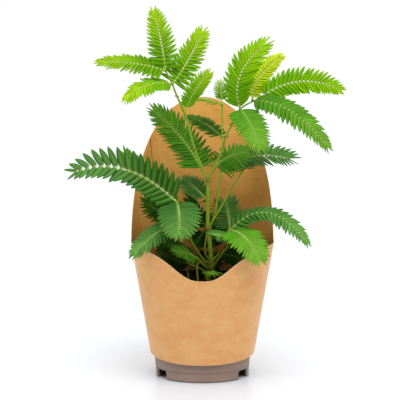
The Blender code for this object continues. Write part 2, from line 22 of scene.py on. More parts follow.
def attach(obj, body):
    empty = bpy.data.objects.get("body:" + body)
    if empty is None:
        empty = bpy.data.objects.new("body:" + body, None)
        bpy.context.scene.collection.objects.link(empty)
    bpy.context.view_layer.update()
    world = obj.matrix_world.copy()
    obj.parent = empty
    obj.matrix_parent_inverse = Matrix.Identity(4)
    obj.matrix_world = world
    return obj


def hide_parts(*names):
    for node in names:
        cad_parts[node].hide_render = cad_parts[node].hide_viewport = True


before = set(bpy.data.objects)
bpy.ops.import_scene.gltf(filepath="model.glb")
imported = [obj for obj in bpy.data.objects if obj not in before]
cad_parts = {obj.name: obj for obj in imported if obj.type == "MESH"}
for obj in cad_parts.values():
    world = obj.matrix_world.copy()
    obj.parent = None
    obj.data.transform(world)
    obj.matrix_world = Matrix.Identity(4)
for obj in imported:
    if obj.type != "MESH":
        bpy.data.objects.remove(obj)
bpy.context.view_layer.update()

LOG = logging.getLogger("everfresh")
MM = 0.001
BODY = "root"
SEED = 20
NEAR = 0.01

Colour = tuple[float, float, float]
Point = tuple[float, float, float]
Pair = tuple[float, float]
Term = Union["Signal", float]
Vertex = bpy.types.MeshVertex


# Small tools


def srgb(red: float, green: float, blue: float) -> Colour:
    """Turn a colour as it is seen, from 0 to 255, into the shader's linear values.

    Args:
        red: Red from 0 to 255.
        green: Green from 0 to 255.
        blue: Blue from 0 to 255.

    Returns:
        The linear colour.
    """

    def linear(value: float) -> float:
        """Return one channel's linear value."""
        share = value / 255.0
        return share / 12.92 if share <= 0.04045 else ((share + 0.055) / 1.055) ** 2.4

    return linear(red), linear(green), linear(blue)


def smooth_step(share: float) -> float:
    """Ease a share from 0 to 1, level at both ends."""
    share = min(1.0, max(0.0, share))
    return share * share * (3.0 - 2.0 * share)


def deselect() -> None:
    """Leave object mode on and nothing selected."""
    if bpy.context.mode != "OBJECT":
        bpy.ops.object.mode_set(mode="OBJECT")
    bpy.ops.object.select_all(action="DESELECT")


def take(part: bpy.types.Object) -> None:
    """Make one object the only selected one, and the active one.

    Args:
        part: The object.
    """
    deselect()
    part.select_set(True)
    bpy.context.view_layer.objects.active = part


def fresh(add: Callable[..., object], **settings: object) -> bpy.types.Object:
    """Add an object with nothing else selected.

    Args:
        add: The operator that adds it.
        settings: The operator's settings.

    Returns:
        The new object.
    """
    deselect()
    add(**settings)
    return bpy.context.object


def edit_points(part: bpy.types.Object, wanted: Callable[[Vector], bool]) -> None:
    """Enter edit mode with only the wanted vertices selected.

    Args:
        part: The mesh object to edit.
        wanted: Says of a vertex's place whether it is selected.
    """
    take(part)
    bpy.ops.object.mode_set(mode="EDIT")
    bpy.ops.mesh.select_mode(type="VERT")
    bpy.ops.mesh.select_all(action="DESELECT")
    bpy.ops.object.mode_set(mode="OBJECT")
    for vertex in part.data.vertices:
        vertex.select = wanted(vertex.co)
    bpy.ops.object.mode_set(mode="EDIT")


def apply_modifier(part: bpy.types.Object, kind: str, **settings: object) -> None:
    """Add a modifier with its settings and apply it at once.

    Args:
        part: The object to change.
        kind: The modifier's type.
        settings: The modifier's properties and their values.
    """
    take(part)
    modifier = part.modifiers.new(kind.lower(), kind)
    for key, value in settings.items():
        setattr(modifier, key, value)
    bpy.ops.object.modifier_apply(modifier=modifier.name)


def join(parts: Sequence[bpy.types.Object], name: str) -> bpy.types.Object:
    """Join objects into one and name it.

    Args:
        parts: The objects, the first of which takes in the others.
        name: The new name.

    Returns:
        The joined object.
    """
    deselect()
    for part in parts:
        part.select_set(True)
    bpy.context.view_layer.objects.active = parts[0]
    if len(parts) > 1:
        bpy.ops.object.join()
    parts[0].name = name
    parts[0].data.name = name
    return parts[0]


def copy_of(model: bpy.types.Object, place: Matrix) -> bpy.types.Object:
    """Copy a model with its own mesh.

    Args:
        model: The object to copy.
        place: Where the copy goes, and its turn and size.

    Returns:
        The copy.
    """
    part = bpy.data.objects.new(model.name, model.data.copy())
    part.data.transform(place)
    bpy.context.scene.collection.objects.link(part)
    return part


def drop(*parts: bpy.types.Object) -> None:
    """Remove objects that have done their work."""
    for part in parts:
        bpy.data.objects.remove(part, do_unlink=True)


def mark(mesh: bpy.types.Mesh, **values: float) -> None:
    """Store one number for each of a mesh's vertices, under each name.

    Args:
        mesh: The mesh.
        values: The attributes' names and the number for all vertices.
    """
    for name, value in values.items():
        layer = mesh.attributes.get(name) or mesh.attributes.new(name, "FLOAT", "POINT")
        layer.data.foreach_set("value", [value] * len(mesh.vertices))


def mark_each(mesh: bpy.types.Mesh, name: str, rule: Callable[[Vertex], float]) -> None:
    """Store a number for each vertex of a mesh, as a rule gives it."""
    layer = mesh.attributes.get(name) or mesh.attributes.new(name, "FLOAT", "POINT")
    layer.data.foreach_set("value", [rule(vertex) for vertex in mesh.vertices])


def finish_piece(
    part: bpy.types.Object, materials: Iterable[bpy.types.Material], nodes: Sequence[str]
) -> bpy.types.Object:
    """Turn a piece into metres, dress it and tie it to the frame.

    Args:
        part: The finished object, in millimetres.
        materials: Its materials, in the order of its material slots.
        nodes: The frame's nodes that it stands for.

    Returns:
        The same object.
    """
    part.data.transform(Matrix.Scale(MM, 4))
    for index, material in enumerate(materials):
        if index < len(part.data.materials):
            part.data.materials[index] = material
        else:
            part.data.materials.append(material)
    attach(part, BODY)
    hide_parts(*nodes)
    LOG.info("%s: %d faces, stands for %s", part.name, len(part.data.polygons), ", ".join(nodes))
    return part


def tube(name: str, spots: Sequence[Vector], radii: Sequence[float], roundness: int = 2) -> bpy.types.Object:
    """Make a closed round tube along a run of points.

    Args:
        name: The object's name.
        spots: The centre line's points.
        radii: The radius at each point.
        roundness: The bevel's resolution.

    Returns:
        The tube as a mesh object.
    """
    part = fresh(bpy.ops.curve.primitive_nurbs_path_add)
    curve = part.data
    curve.splines.clear()
    spline = curve.splines.new("POLY")
    spline.points.add(len(spots) - 1)
    for point, spot, radius in zip(spline.points, spots, radii):
        point.co = (*spot, 1.0)
        point.radius = radius
    curve.bevel_depth = 1.0
    curve.bevel_resolution = roundness
    curve.use_fill_caps = True
    bpy.ops.object.convert(target="MESH")
    bpy.ops.object.shade_smooth()
    part.name = name
    return part


def turned(name: str, profile: Sequence[Pair], sides: int) -> bpy.types.Object:
    """Turn a profile into a closed body, by extruding one ring after another.

    Args:
        name: The object's name.
        profile: Radius and height of each ring; the first and the last are closed flat.
        sides: The number of points round a ring.

    Returns:
        The turned object.
    """
    start, height = profile[0]
    radius = start
    part = fresh(
        bpy.ops.mesh.primitive_circle_add,
        vertices=sides,
        radius=radius,
        fill_type="TRIFAN",
        location=(0, 0, height),
    )
    bpy.ops.object.transform_apply(location=True)
    edit_points(part, lambda spot: math.hypot(spot.x, spot.y) > 0.5 * start)
    bpy.ops.mesh.select_mode(type="EDGE")
    bpy.ops.mesh.region_to_loop()
    for next_radius, next_height in profile[1:]:
        bpy.ops.mesh.extrude_edges_move(TRANSFORM_OT_translate={"value": (0, 0, next_height - height)})
        ratio = next_radius / radius
        bpy.ops.transform.resize(value=(ratio, ratio, 1.0))
        radius, height = next_radius, next_height
    bpy.ops.mesh.extrude_edges_move(TRANSFORM_OT_translate={"value": (0, 0, 0)})
    bpy.ops.mesh.merge(type="CENTER")
    bpy.ops.mesh.select_all(action="SELECT")
    bpy.ops.mesh.normals_make_consistent(inside=False)
    bpy.ops.object.mode_set(mode="OBJECT")
    part.name = name
    return part


# Shader maths


class Signal:
    """A socket of a material that takes part in Python arithmetic."""

    def __init__(self, sheet: "NodeTree", socket: bpy.types.NodeSocket) -> None:
        """Wrap a socket of a sheet's tree."""
        self.sheet = sheet
        self.socket = socket

    def _maths(self, operation: str, first: Term, second: Term) -> "Signal":
        """Add a Math node and return its result."""
        return self.sheet.add("ShaderNodeMath", {"operation": operation}, {0: first, 1: second})

    def __add__(self, other: Term) -> "Signal":
        """Return the sum."""
        return self._maths("ADD", self, other)

    __radd__ = __add__

    def __sub__(self, other: Term) -> "Signal":
        """Return the difference."""
        return self._maths("SUBTRACT", self, other)

    def __rsub__(self, other: Term) -> "Signal":
        """Return a number less this signal."""
        return self._maths("SUBTRACT", other, self)

    def __mul__(self, other: Term) -> "Signal":
        """Return the product."""
        return self._maths("MULTIPLY", self, other)

    __rmul__ = __mul__

    def __abs__(self) -> "Signal":
        """Return the size without its sign."""
        return self._maths("ABSOLUTE", self, 0.0)

    def sine(self) -> "Signal":
        """Return the sine."""
        return self._maths("SINE", self, 0.0)

    def band(self, low: float, high: float, start: float = 0.0, end: float = 1.0) -> "Signal":
        """Return a signal that eases from start at low to end at high, and holds them beyond."""
        inputs = {"Value": self, "From Min": low, "From Max": high, "To Min": start, "To Max": end}
        return self.sheet.add("ShaderNodeMapRange", {"interpolation_type": "SMOOTHSTEP"}, inputs)


class NodeTree:
    """Any node tree, with one method that adds every kind of node."""

    def __init__(self, tree: bpy.types.NodeTree) -> None:
        """Wrap a tree."""
        self.tree = tree

    def add(self, kind: str, settings: dict, inputs: dict, output: Union[int, str] = 0) -> Signal:
        """Add any node.

        Args:
            kind: The node's type.
            settings: Its properties, such as a Math node's operation, which are set first.
            inputs: Its sockets' names or numbers, with a value or a signal each.
            output: The output that is returned.

        Returns:
            The signal of that output.
        """
        node = self.tree.nodes.new(kind)
        for key, value in settings.items():
            setattr(node, key, value)
        for key, value in inputs.items():
            self.feed(node.inputs[key], value)
        return Signal(self, node.outputs[output])

    def feed(self, socket: bpy.types.NodeSocket, value: object) -> None:
        """Link a signal to a socket, or set the socket's own value.

        Args:
            socket: The socket to feed.
            value: The signal, number, colour or vector.
        """
        if isinstance(value, Signal):
            self.tree.links.new(value.socket, socket)
        elif socket.type == "RGBA":
            socket.default_value = (*value, 1.0)
        else:
            socket.default_value = value

    def split(self, vector: Signal) -> tuple[Signal, Signal, Signal]:
        """Take a vector apart.

        Args:
            vector: The vector.

        Returns:
            Its three parts.
        """
        first = self.add("ShaderNodeSeparateXYZ", {}, {"Vector": vector})
        outputs = first.socket.node.outputs
        return first, Signal(self, outputs[1]), Signal(self, outputs[2])


class Sheet(NodeTree):
    """The node tree of one material, with its main shader."""

    def __init__(self, name: str) -> None:
        """Start a material with a Principled shader.

        Args:
            name: The material's name.
        """
        self.material = bpy.data.materials.new(name)
        self.material.use_nodes = True
        super().__init__(self.material.node_tree)
        self.shader = self.tree.nodes["Principled BSDF"]

    def set(self, **values: object) -> None:
        """Feed the main shader's sockets, named with _ for a space."""
        for name, value in values.items():
            self.feed(self.shader.inputs[name.replace("_", " ")], value)

    def attribute(self, name: str) -> Signal:
        """Return a number that is stored with the mesh."""
        return self.add("ShaderNodeAttribute", {"attribute_name": name}, {}, "Fac")

    def place(self) -> Signal:
        """Return the place on the object, in metres."""
        return self.add("ShaderNodeTexCoord", {}, {}, "Object")

    def chart(self) -> tuple[Signal, Signal]:
        """Return the two coordinates of the piece's own chart."""
        both = self.add("ShaderNodeUVMap", {"uv_map": "UVMap"}, {})
        return self.split(both)[:2]

    def stretch(self, vector: Signal, scale: Point) -> Signal:
        """Return a vector scaled along each axis."""
        return self.add("ShaderNodeMapping", {}, {"Vector": vector, "Scale": scale})

    def noise(self, vector: Signal, scale: float, detail: float = 3.0, roughness: float = 0.5) -> Signal:
        """Return a cloudy pattern from 0 to 1, with scale cells a unit."""
        inputs = {"Vector": vector, "Scale": scale, "Detail": detail, "Roughness": roughness}
        return self.add("ShaderNodeTexNoise", {}, inputs, "Fac")

    def mix(self, share: Term, first: object, second: object) -> Signal:
        """Return a mix of two colours."""
        return self.add("ShaderNodeMix", {"data_type": "RGBA"}, {0: share, 6: first, 7: second}, 2)

    def brighten(self, colour: Signal, value: Term, saturation: Term = 1.0) -> Signal:
        """Return a colour with its brightness and saturation multiplied."""
        inputs = {"Color": colour, "Value": value, "Saturation": saturation}
        return self.add("ShaderNodeHueSaturation", {}, inputs)

    def bump(self, height: Signal, depth_mm: float, strength: float = 1.0) -> None:
        """Feed the shader's normal from a height of so many millimetres."""
        inputs = {"Strength": strength, "Distance": depth_mm * MM, "Height": height}
        self.set(Normal=self.add("ShaderNodeBump", {}, inputs))


# Finishes


@dataclass(frozen=True)
class LeafFinish:
    """Leaf green, from the shaded start of a pinna to its tip.

    Attributes:
        name: The material's name.
        base: The colour near the start of the rib.
        tip: The colour at the end of the rib.
        under: The colour of the underside.
        rib: The colour of the rib.
        bead: The colour of the leaflets' swollen feet.
        gloss: How much it mirrors the room.
        roughness: How matt it is.
        painted_margin_shade: How bright the leaflets' margins are painted, as a share of the rest: painted
            shade for the shadow lines between overlapping leaflets.
        clouds: The number of soft clouds a metre.
        flecks: The number of fine flecks a metre.
        veins: The angle that the wave of side veins runs through along a leaflet, in radians.
        midrib: How far from its middle a leaflet's midrib shows, as a share of its width.
        relief_mm: How deep the veins are, in millimetres.
    """

    name: str
    base: Colour
    tip: Colour
    under: Colour
    rib: Colour
    bead: Colour
    gloss: float = 0.2
    roughness: float = 0.45
    painted_margin_shade: float = 0.6
    clouds: float = 170.0
    flecks: float = 1300.0
    veins: float = 120.0
    midrib: float = 0.09
    relief_mm: float = 0.15

    def dress(self) -> bpy.types.Material:
        """Build the material.

        Returns:
            The material.
        """
        sheet = Sheet(self.name)
        along = sheet.attribute("along")
        tone = sheet.attribute("tone")
        under = sheet.attribute("under")
        pale = sheet.attribute("pale")
        across, down = sheet.chart()
        place = sheet.place()
        side = abs(across - 0.5)
        vein = side.band(0.0, self.midrib, 1.0, 0.0)
        cloud = sheet.noise(place, self.clouds, 3.0)
        fleck = sheet.noise(place, self.flecks, 2.0)
        green = sheet.mix(along.band(0.15, 1.0), self.base, self.tip)
        green = sheet.mix(down.band(0.60, 1.0) * 0.30, green, self.tip)
        green = sheet.mix(vein * down.band(0.5, 0.9, 0.22, 0.0), green, self.rib)
        green = sheet.brighten(green, 0.56 + tone * 0.54 + cloud * 0.26 + fleck * 0.08)
        green = sheet.mix(under * 0.75, green, self.under)
        # Painted shade: darker margins stand for the shadow lines between overlapping leaflets.
        green = sheet.brighten(green, side.band(0.30, 0.5, 1.0, self.painted_margin_shade))
        green = sheet.mix(pale.band(0.0, 0.5), green, self.rib)
        green = sheet.mix(pale.band(0.6, 1.0), green, self.bead)
        sheet.set(Base_Color=green, Roughness=self.roughness + under * 0.2 + cloud * 0.15)
        sheet.set(IOR=1.3, Specular_IOR_Level=self.gloss)
        ribs = ((down + side * 0.8) * self.veins).sine()
        sheet.bump(vein * -0.5 + ribs * 0.12 + cloud * 0.4, self.relief_mm, 0.7)
        return sheet.material


@dataclass(frozen=True)
class StemFinish:
    """Young green bark that turns brown towards the soil.

    Attributes:
        name: The material's name.
        low: The colour at the soil.
        high: The colour of the young shoots.
        scale: The colour of the dry scales and nodes.
        greening: The heights between which it turns green, in metres.
        streaks: The number of streaks a metre along each axis.
        flecks: The number of flecks a metre.
        relief_mm: How deep its streaks are, in millimetres.
    """

    name: str
    low: Colour
    high: Colour
    scale: Colour
    greening: Pair = (0.085, 0.19)
    streaks: Point = (900.0, 900.0, 60.0)
    flecks: float = 900.0
    relief_mm: float = 0.25

    def dress(self) -> bpy.types.Material:
        """Build the material.

        Returns:
            The material.
        """
        sheet = Sheet(self.name)
        place = sheet.place()
        height = sheet.split(place)[2]
        streak = sheet.noise(sheet.stretch(place, self.streaks), 1.0, 3.0)
        fleck = sheet.noise(place, self.flecks, 2.0)
        dry = sheet.attribute("dry")
        green = sheet.mix(height.band(*self.greening), self.low, self.high)
        green = sheet.brighten(green, 0.65 + streak * 0.7)
        green = sheet.mix(fleck.band(0.62, 0.72) * 0.35, green, self.scale)
        green = sheet.mix(dry, green, self.scale)
        sheet.set(Base_Color=green, Roughness=0.45 + streak * 0.2, Specular_IOR_Level=0.25)
        sheet.bump(streak * 0.7 + fleck * 0.3, self.relief_mm, 0.8)
        return sheet.material


@dataclass(frozen=True)
class PlasticFinish:
    """Recycled taupe plastic with faint swirls, matt from the mould.

    Attributes:
        name: The material's name.
        body: The main colour.
        swirl: The colour of the faint swirls.
        painted_edge_shade: How bright the edge that it stands on and its rim are painted, as a share of the
            rest: a painted contact shadow at the foot and painted shade on the lip inside the sleeve.
        contact_shadow_heights: The heights between which the painted contact shadow at the foot ends, in
            metres.
        rim_shade_heights: The heights between which the painted shade on the rim starts, in metres.
        swirls: The number of swirls a metre along each axis.
        grains: The number of grains a metre.
        relief_mm: How deep the mould's grain is, in millimetres.
    """

    name: str
    body: Colour
    swirl: Colour
    painted_edge_shade: float = 0.32
    contact_shadow_heights: Pair = (0.0002, 0.0016)
    rim_shade_heights: Pair = (0.080, 0.085)
    swirls: Point = (40.0, 40.0, 110.0)
    grains: float = 1800.0
    relief_mm: float = 0.06

    def dress(self) -> bpy.types.Material:
        """Build the material.

        Returns:
            The material.
        """
        sheet = Sheet(self.name)
        place = sheet.place()
        swirl = sheet.noise(sheet.stretch(place, self.swirls), 1.0, 4.0, 0.6)
        grain = sheet.noise(place, self.grains, 2.0)
        colour = sheet.mix(swirl.band(0.35, 0.75), self.body, self.swirl)
        colour = sheet.brighten(colour, 0.92 + grain * 0.16)
        height = sheet.split(place)[2]
        # Painted contact shadow along the lowest edge of the foot, and painted shade on the lip, which sits
        # in shade inside the sleeve.
        colour = sheet.brighten(colour, height.band(*self.contact_shadow_heights, self.painted_edge_shade, 1.0))
        colour = sheet.brighten(colour, height.band(*self.rim_shade_heights, 1.0, self.painted_edge_shade))
        sheet.set(Base_Color=colour, Roughness=0.44 + swirl * 0.14)
        sheet.bump(grain * 0.6 + swirl * 0.4, self.relief_mm, 0.7)
        return sheet.material


@dataclass(frozen=True)
class KraftFinish:
    """Kraft card with its fibres and soft clouds.

    Attributes:
        name: The material's name.
        body: The main colour.
        cloud: The colour of the darker clouds.
        fibre: The colour of single dark fibres.
        roughness: How matt it is.
        sheen: How much its fibres lighten it where it turns away.
        painted_soil_shade: How bright it is painted down at the soil, as a share of the rest: painted shade
            for the foliage's shadow low in the sleeve.
        painted_soil_shade_heights: The heights between which that painted shade ends, in metres.
        lap_shadow_band: How far from its middle the chart ends in the dark line at the lap's edge, a painted
            shadow of the seam.
        clouds: The number of clouds a metre along each axis.
        felts: The number of felted tufts a metre along each axis.
        fibres: The number of dark fibres a metre along each axis.
        relief_mm: How deep the felt is, in millimetres.
    """

    name: str
    body: Colour
    cloud: Colour
    fibre: Colour
    roughness: float = 0.62
    sheen: float = 0.35
    painted_soil_shade: float = 1.0
    painted_soil_shade_heights: Pair = (0.086, 0.142)
    lap_shadow_band: Pair = (0.4974, 0.4986)
    clouds: Point = (55.0, 55.0, 90.0)
    felts: Point = (420.0, 420.0, 900.0)
    fibres: Point = (260.0, 260.0, 2400.0)
    relief_mm: float = 0.05

    def dress(self) -> bpy.types.Material:
        """Build the material.

        Returns:
            The material.
        """
        sheet = Sheet(self.name)
        place = sheet.place()
        cloud = sheet.noise(sheet.stretch(place, self.clouds), 1.0, 5.0, 0.6)
        felt = sheet.noise(sheet.stretch(place, self.felts), 1.0, 3.0, 0.6)
        fibre = sheet.noise(sheet.stretch(place, self.fibres), 1.0, 2.0)
        colour = sheet.mix(cloud.band(0.32, 0.72) * 0.6, self.body, self.cloud)
        colour = sheet.mix(fibre.band(0.60, 0.72) * 0.22, colour, self.fibre)
        colour = sheet.brighten(colour, 0.92 + felt * 0.16)
        height = sheet.split(place)[2]
        # Painted shade: darker low down towards the soil, where the foliage shades the card.
        colour = sheet.brighten(colour, height.band(*self.painted_soil_shade_heights, self.painted_soil_shade, 1.0))
        # Painted shadow: a thin dark line along the lap's edge stands for the seam's shadow.
        lap_shadow = abs(sheet.chart()[0] - 0.5).band(*self.lap_shadow_band)
        colour = sheet.mix(lap_shadow * 0.75, colour, self.fibre)
        sheet.set(Base_Color=colour, Roughness=self.roughness + felt * 0.1)
        sheet.set(IOR=1.15, Specular_IOR_Level=0.12, Sheen_Weight=self.sheen, Sheen_Roughness=0.4)
        sheet.bump(felt * 0.6 + fibre * 0.4, self.relief_mm, 0.8)
        return sheet.material


@dataclass(frozen=True)
class SoilFinish:
    """Moist potting soil, near black with brown crumbs.

    Attributes:
        name: The material's name.
        dark: The colour of the hollows.
        crumb: The colour of the crumbs.
        crumbs: The number of crumbs a metre.
        relief_mm: How deep the hollows between them are, in millimetres.
    """

    name: str
    dark: Colour
    crumb: Colour
    crumbs: float = 420.0
    relief_mm: float = 0.8

    def dress(self) -> bpy.types.Material:
        """Build the material.

        Returns:
            The material.
        """
        sheet = Sheet(self.name)
        place = sheet.place()
        crumb = sheet.noise(place, self.crumbs, 5.0, 0.65)
        tone = sheet.attribute("tone")
        colour = sheet.mix((crumb + tone * 0.3).band(0.45, 0.85), self.dark, self.crumb)
        sheet.set(Base_Color=colour, Roughness=0.95, Specular_IOR_Level=0.08)
        sheet.bump(crumb, self.relief_mm, 0.9)
        return sheet.material


UNDERSIDE = srgb(112, 150, 96)
UNDERSIDE_YOUNG = srgb(140, 180, 80)
GREEN_RIB = srgb(128, 168, 62)
LIME_RIB = srgb(160, 190, 60)
CREAM = srgb(242, 246, 198)
PALE_GREEN = srgb(204, 224, 146)


class Leaf(Enum):
    """The greens of this tree's leaves, by age and light; SHADE, DEEP and DARK are partly painted shade."""

    LIME = LeafFinish(
        "lime_leaf", srgb(174, 200, 14), srgb(194, 214, 40), UNDERSIDE_YOUNG, LIME_RIB, srgb(206, 222, 84),
        gloss=0.05, painted_margin_shade=0.8,
    )
    SPRING = LeafFinish(
        "spring_leaf", srgb(98, 156, 12), srgb(150, 192, 14), UNDERSIDE_YOUNG, LIME_RIB, CREAM,
        gloss=0.05, painted_margin_shade=0.8,
    )
    BRIGHT = LeafFinish(
        "bright_leaf", srgb(98, 158, 6), srgb(138, 188, 12), UNDERSIDE_YOUNG, LIME_RIB, CREAM,
        gloss=0.05, painted_margin_shade=0.8,
    )
    FRESH = LeafFinish(
        "fresh_leaf", srgb(80, 142, 26), srgb(112, 166, 46), UNDERSIDE, GREEN_RIB, PALE_GREEN,
        gloss=0.08, painted_margin_shade=0.55,
    )
    MEADOW = LeafFinish(
        "meadow_leaf", srgb(56, 116, 12), srgb(102, 160, 40), UNDERSIDE, srgb(146, 182, 74),
        srgb(178, 206, 108), gloss=0.12,
    )
    RIVER = LeafFinish(
        "river_leaf", srgb(48, 98, 18), srgb(84, 136, 56), UNDERSIDE, srgb(178, 200, 112), PALE_GREEN,
        roughness=0.42,
    )
    SILVER = LeafFinish(
        "silver_leaf", srgb(50, 104, 30), srgb(92, 144, 58), UNDERSIDE, GREEN_RIB, PALE_GREEN,
        gloss=0.22, roughness=0.42, painted_margin_shade=0.48,
    )
    # SHADE, DEEP and DARK: darker copies of the old green for pinnae in the tree's shaded inside, partly the
    # old leaves' own colour and partly painted shade.
    SHADE = LeafFinish(
        "shade_leaf", srgb(50, 98, 14), srgb(72, 124, 26), UNDERSIDE, srgb(110, 150, 60), GREEN_RIB,
        gloss=0.1,
    )
    DEEP = LeafFinish(
        "deep_leaf", srgb(38, 82, 4), srgb(62, 112, 16), UNDERSIDE, srgb(96, 134, 44), GREEN_RIB,
        gloss=0.08,
    )
    DARK = LeafFinish(
        "dark_leaf", srgb(24, 56, 4), srgb(40, 82, 10), UNDERSIDE, srgb(56, 88, 24), GREEN_RIB,
        gloss=0.08,
    )


GREEN_STEM = StemFinish("green_stem", srgb(122, 142, 30), srgb(124, 158, 20), srgb(112, 66, 30))
TAUPE = PlasticFinish("taupe_plastic", srgb(147, 123, 109), srgb(135, 112, 99))
KRAFT_OUTSIDE = KraftFinish(
    "kraft_outside", srgb(223, 171, 112), srgb(213, 148, 92), srgb(160, 100, 50), roughness=0.6
)
# Painted shade: the inside card is darker down at the soil.
KRAFT_INSIDE = KraftFinish(
    "kraft_inside", srgb(223, 166, 89), srgb(206, 143, 62), srgb(140, 84, 30),
    roughness=0.8, sheen=0.0, painted_soil_shade=0.3,
)
KRAFT_EDGE = KraftFinish(
    "kraft_edge", srgb(238, 208, 164), srgb(226, 190, 142), srgb(190, 140, 90), roughness=0.8, sheen=0.0
)
EARTH = SoilFinish("earth", srgb(16, 12, 7), srgb(58, 42, 26))


# The tree


class Age(Enum):
    """How old a pinna is."""

    YOUNG = "leaf_young"
    GROWN = "leaf_grown"
    OLD = "leaf_old"


class Form(Enum):
    """A leaflet's outline: its half widths from base to tip, as shares of the widest."""

    BLUNT = (0.88, 0.99, 1.0, 0.98, 0.93, 0.83, 0.62, 0.16)
    LANCE = (0.88, 1.0, 1.0, 0.95, 0.86, 0.72, 0.48, 0.08)
    LENS = (0.66, 0.92, 1.0, 1.0, 0.94, 0.80, 0.56, 0.12)


@dataclass(frozen=True)
class Frond:
    """One pinna: the curve of its rib, the way it faces, and its leaflets.

    Attributes:
        name: The frame's node.
        root: Where it grows from.
        middle: A point half way along the rib.
        tip: Where its last leaflets end.
        face: The way its upper side looks.
        reach: The length of its longest leaflets.
        pairs: The number of leaflet pairs.
        age: How old it is; not used.
        leaf: Its finish.
        droop: How far its leaflets hang, in degrees.
        stalk: The length of its bare stalk.
        fullness: How much wider than usual its leaflets are.
        crowding: How much closer the leaflets stand towards the tip.
        roll: How far each leaflet is turned about its length, in degrees.
        taper: How much shorter than the longest its last leaflets are, as a share.
        sweep: The angles between the rib and the first and the last leaflets, in degrees.
        late: How late along the rib the angle changes from the first to the last.
        rise: How long its first leaflets are, as a share of the longest.
        closing: How much wider still its last leaflets are.
        light: How much lighter than its finish it is.
        left: How long the leaflets on its left are, as a share of those on its right.
        form: The leaflets' outline.
    """

    name: str
    root: Point
    middle: Point
    tip: Point
    face: Point
    reach: float
    pairs: int
    age: Age
    leaf: Leaf
    droop: float = 0.0
    stalk: float = 4.0
    fullness: float = 1.0
    crowding: float = 0.16
    roll: float = 16.0
    taper: float = 0.42
    sweep: Pair = (73.0, 30.0)
    late: float = 2.0
    rise: float = 0.76
    closing: float = 0.1
    light: float = 0.0
    left: float = 1.0
    form: Form = Form.LANCE


YOUNG, GROWN, OLD = Age.YOUNG, Age.GROWN, Age.OLD

# The joints that stems and pinnae share.
CROWN = (-33, -6, 277)
CROWN_FORK = (-27, -6, 265)
LEFT_END = (-23, -22, 160)
LEFT_NODE = (-21, -17, 144)
RIGHT_FORK = (34, -11, 243)
RIGHT_END = (52, -4, 253)
TWIG = (18, 8, 246)
TWIG_NODE = (18, 1, 217)
MIDDLE_END = (17, 0, 186)
REAR_END = (37, 12, 186)
LOW_RIGHT = (25, -18, 134)
LOW_FRONT = (-4, -13, 108)
SPROUT = (10, -10, 96)
LOW_REAR = (15, 6, 110)
LOW_LEFT = (-13, -5, 102)
LOW_REAR_LEFT = (-7, 8, 106)
MID_NODE = (5, 2, 134)
HIGH_NODE = (4, 2, 160)


def inner(name: str, *curve: object, **more: float) -> Frond:
    """Return a pinna of the inside of the tree, wide-leaved unless it is told otherwise; its DARK green is
    partly painted shade.
    """
    return Frond(name, *curve, OLD, Leaf.DARK, **{"fullness": 1.6, **more})


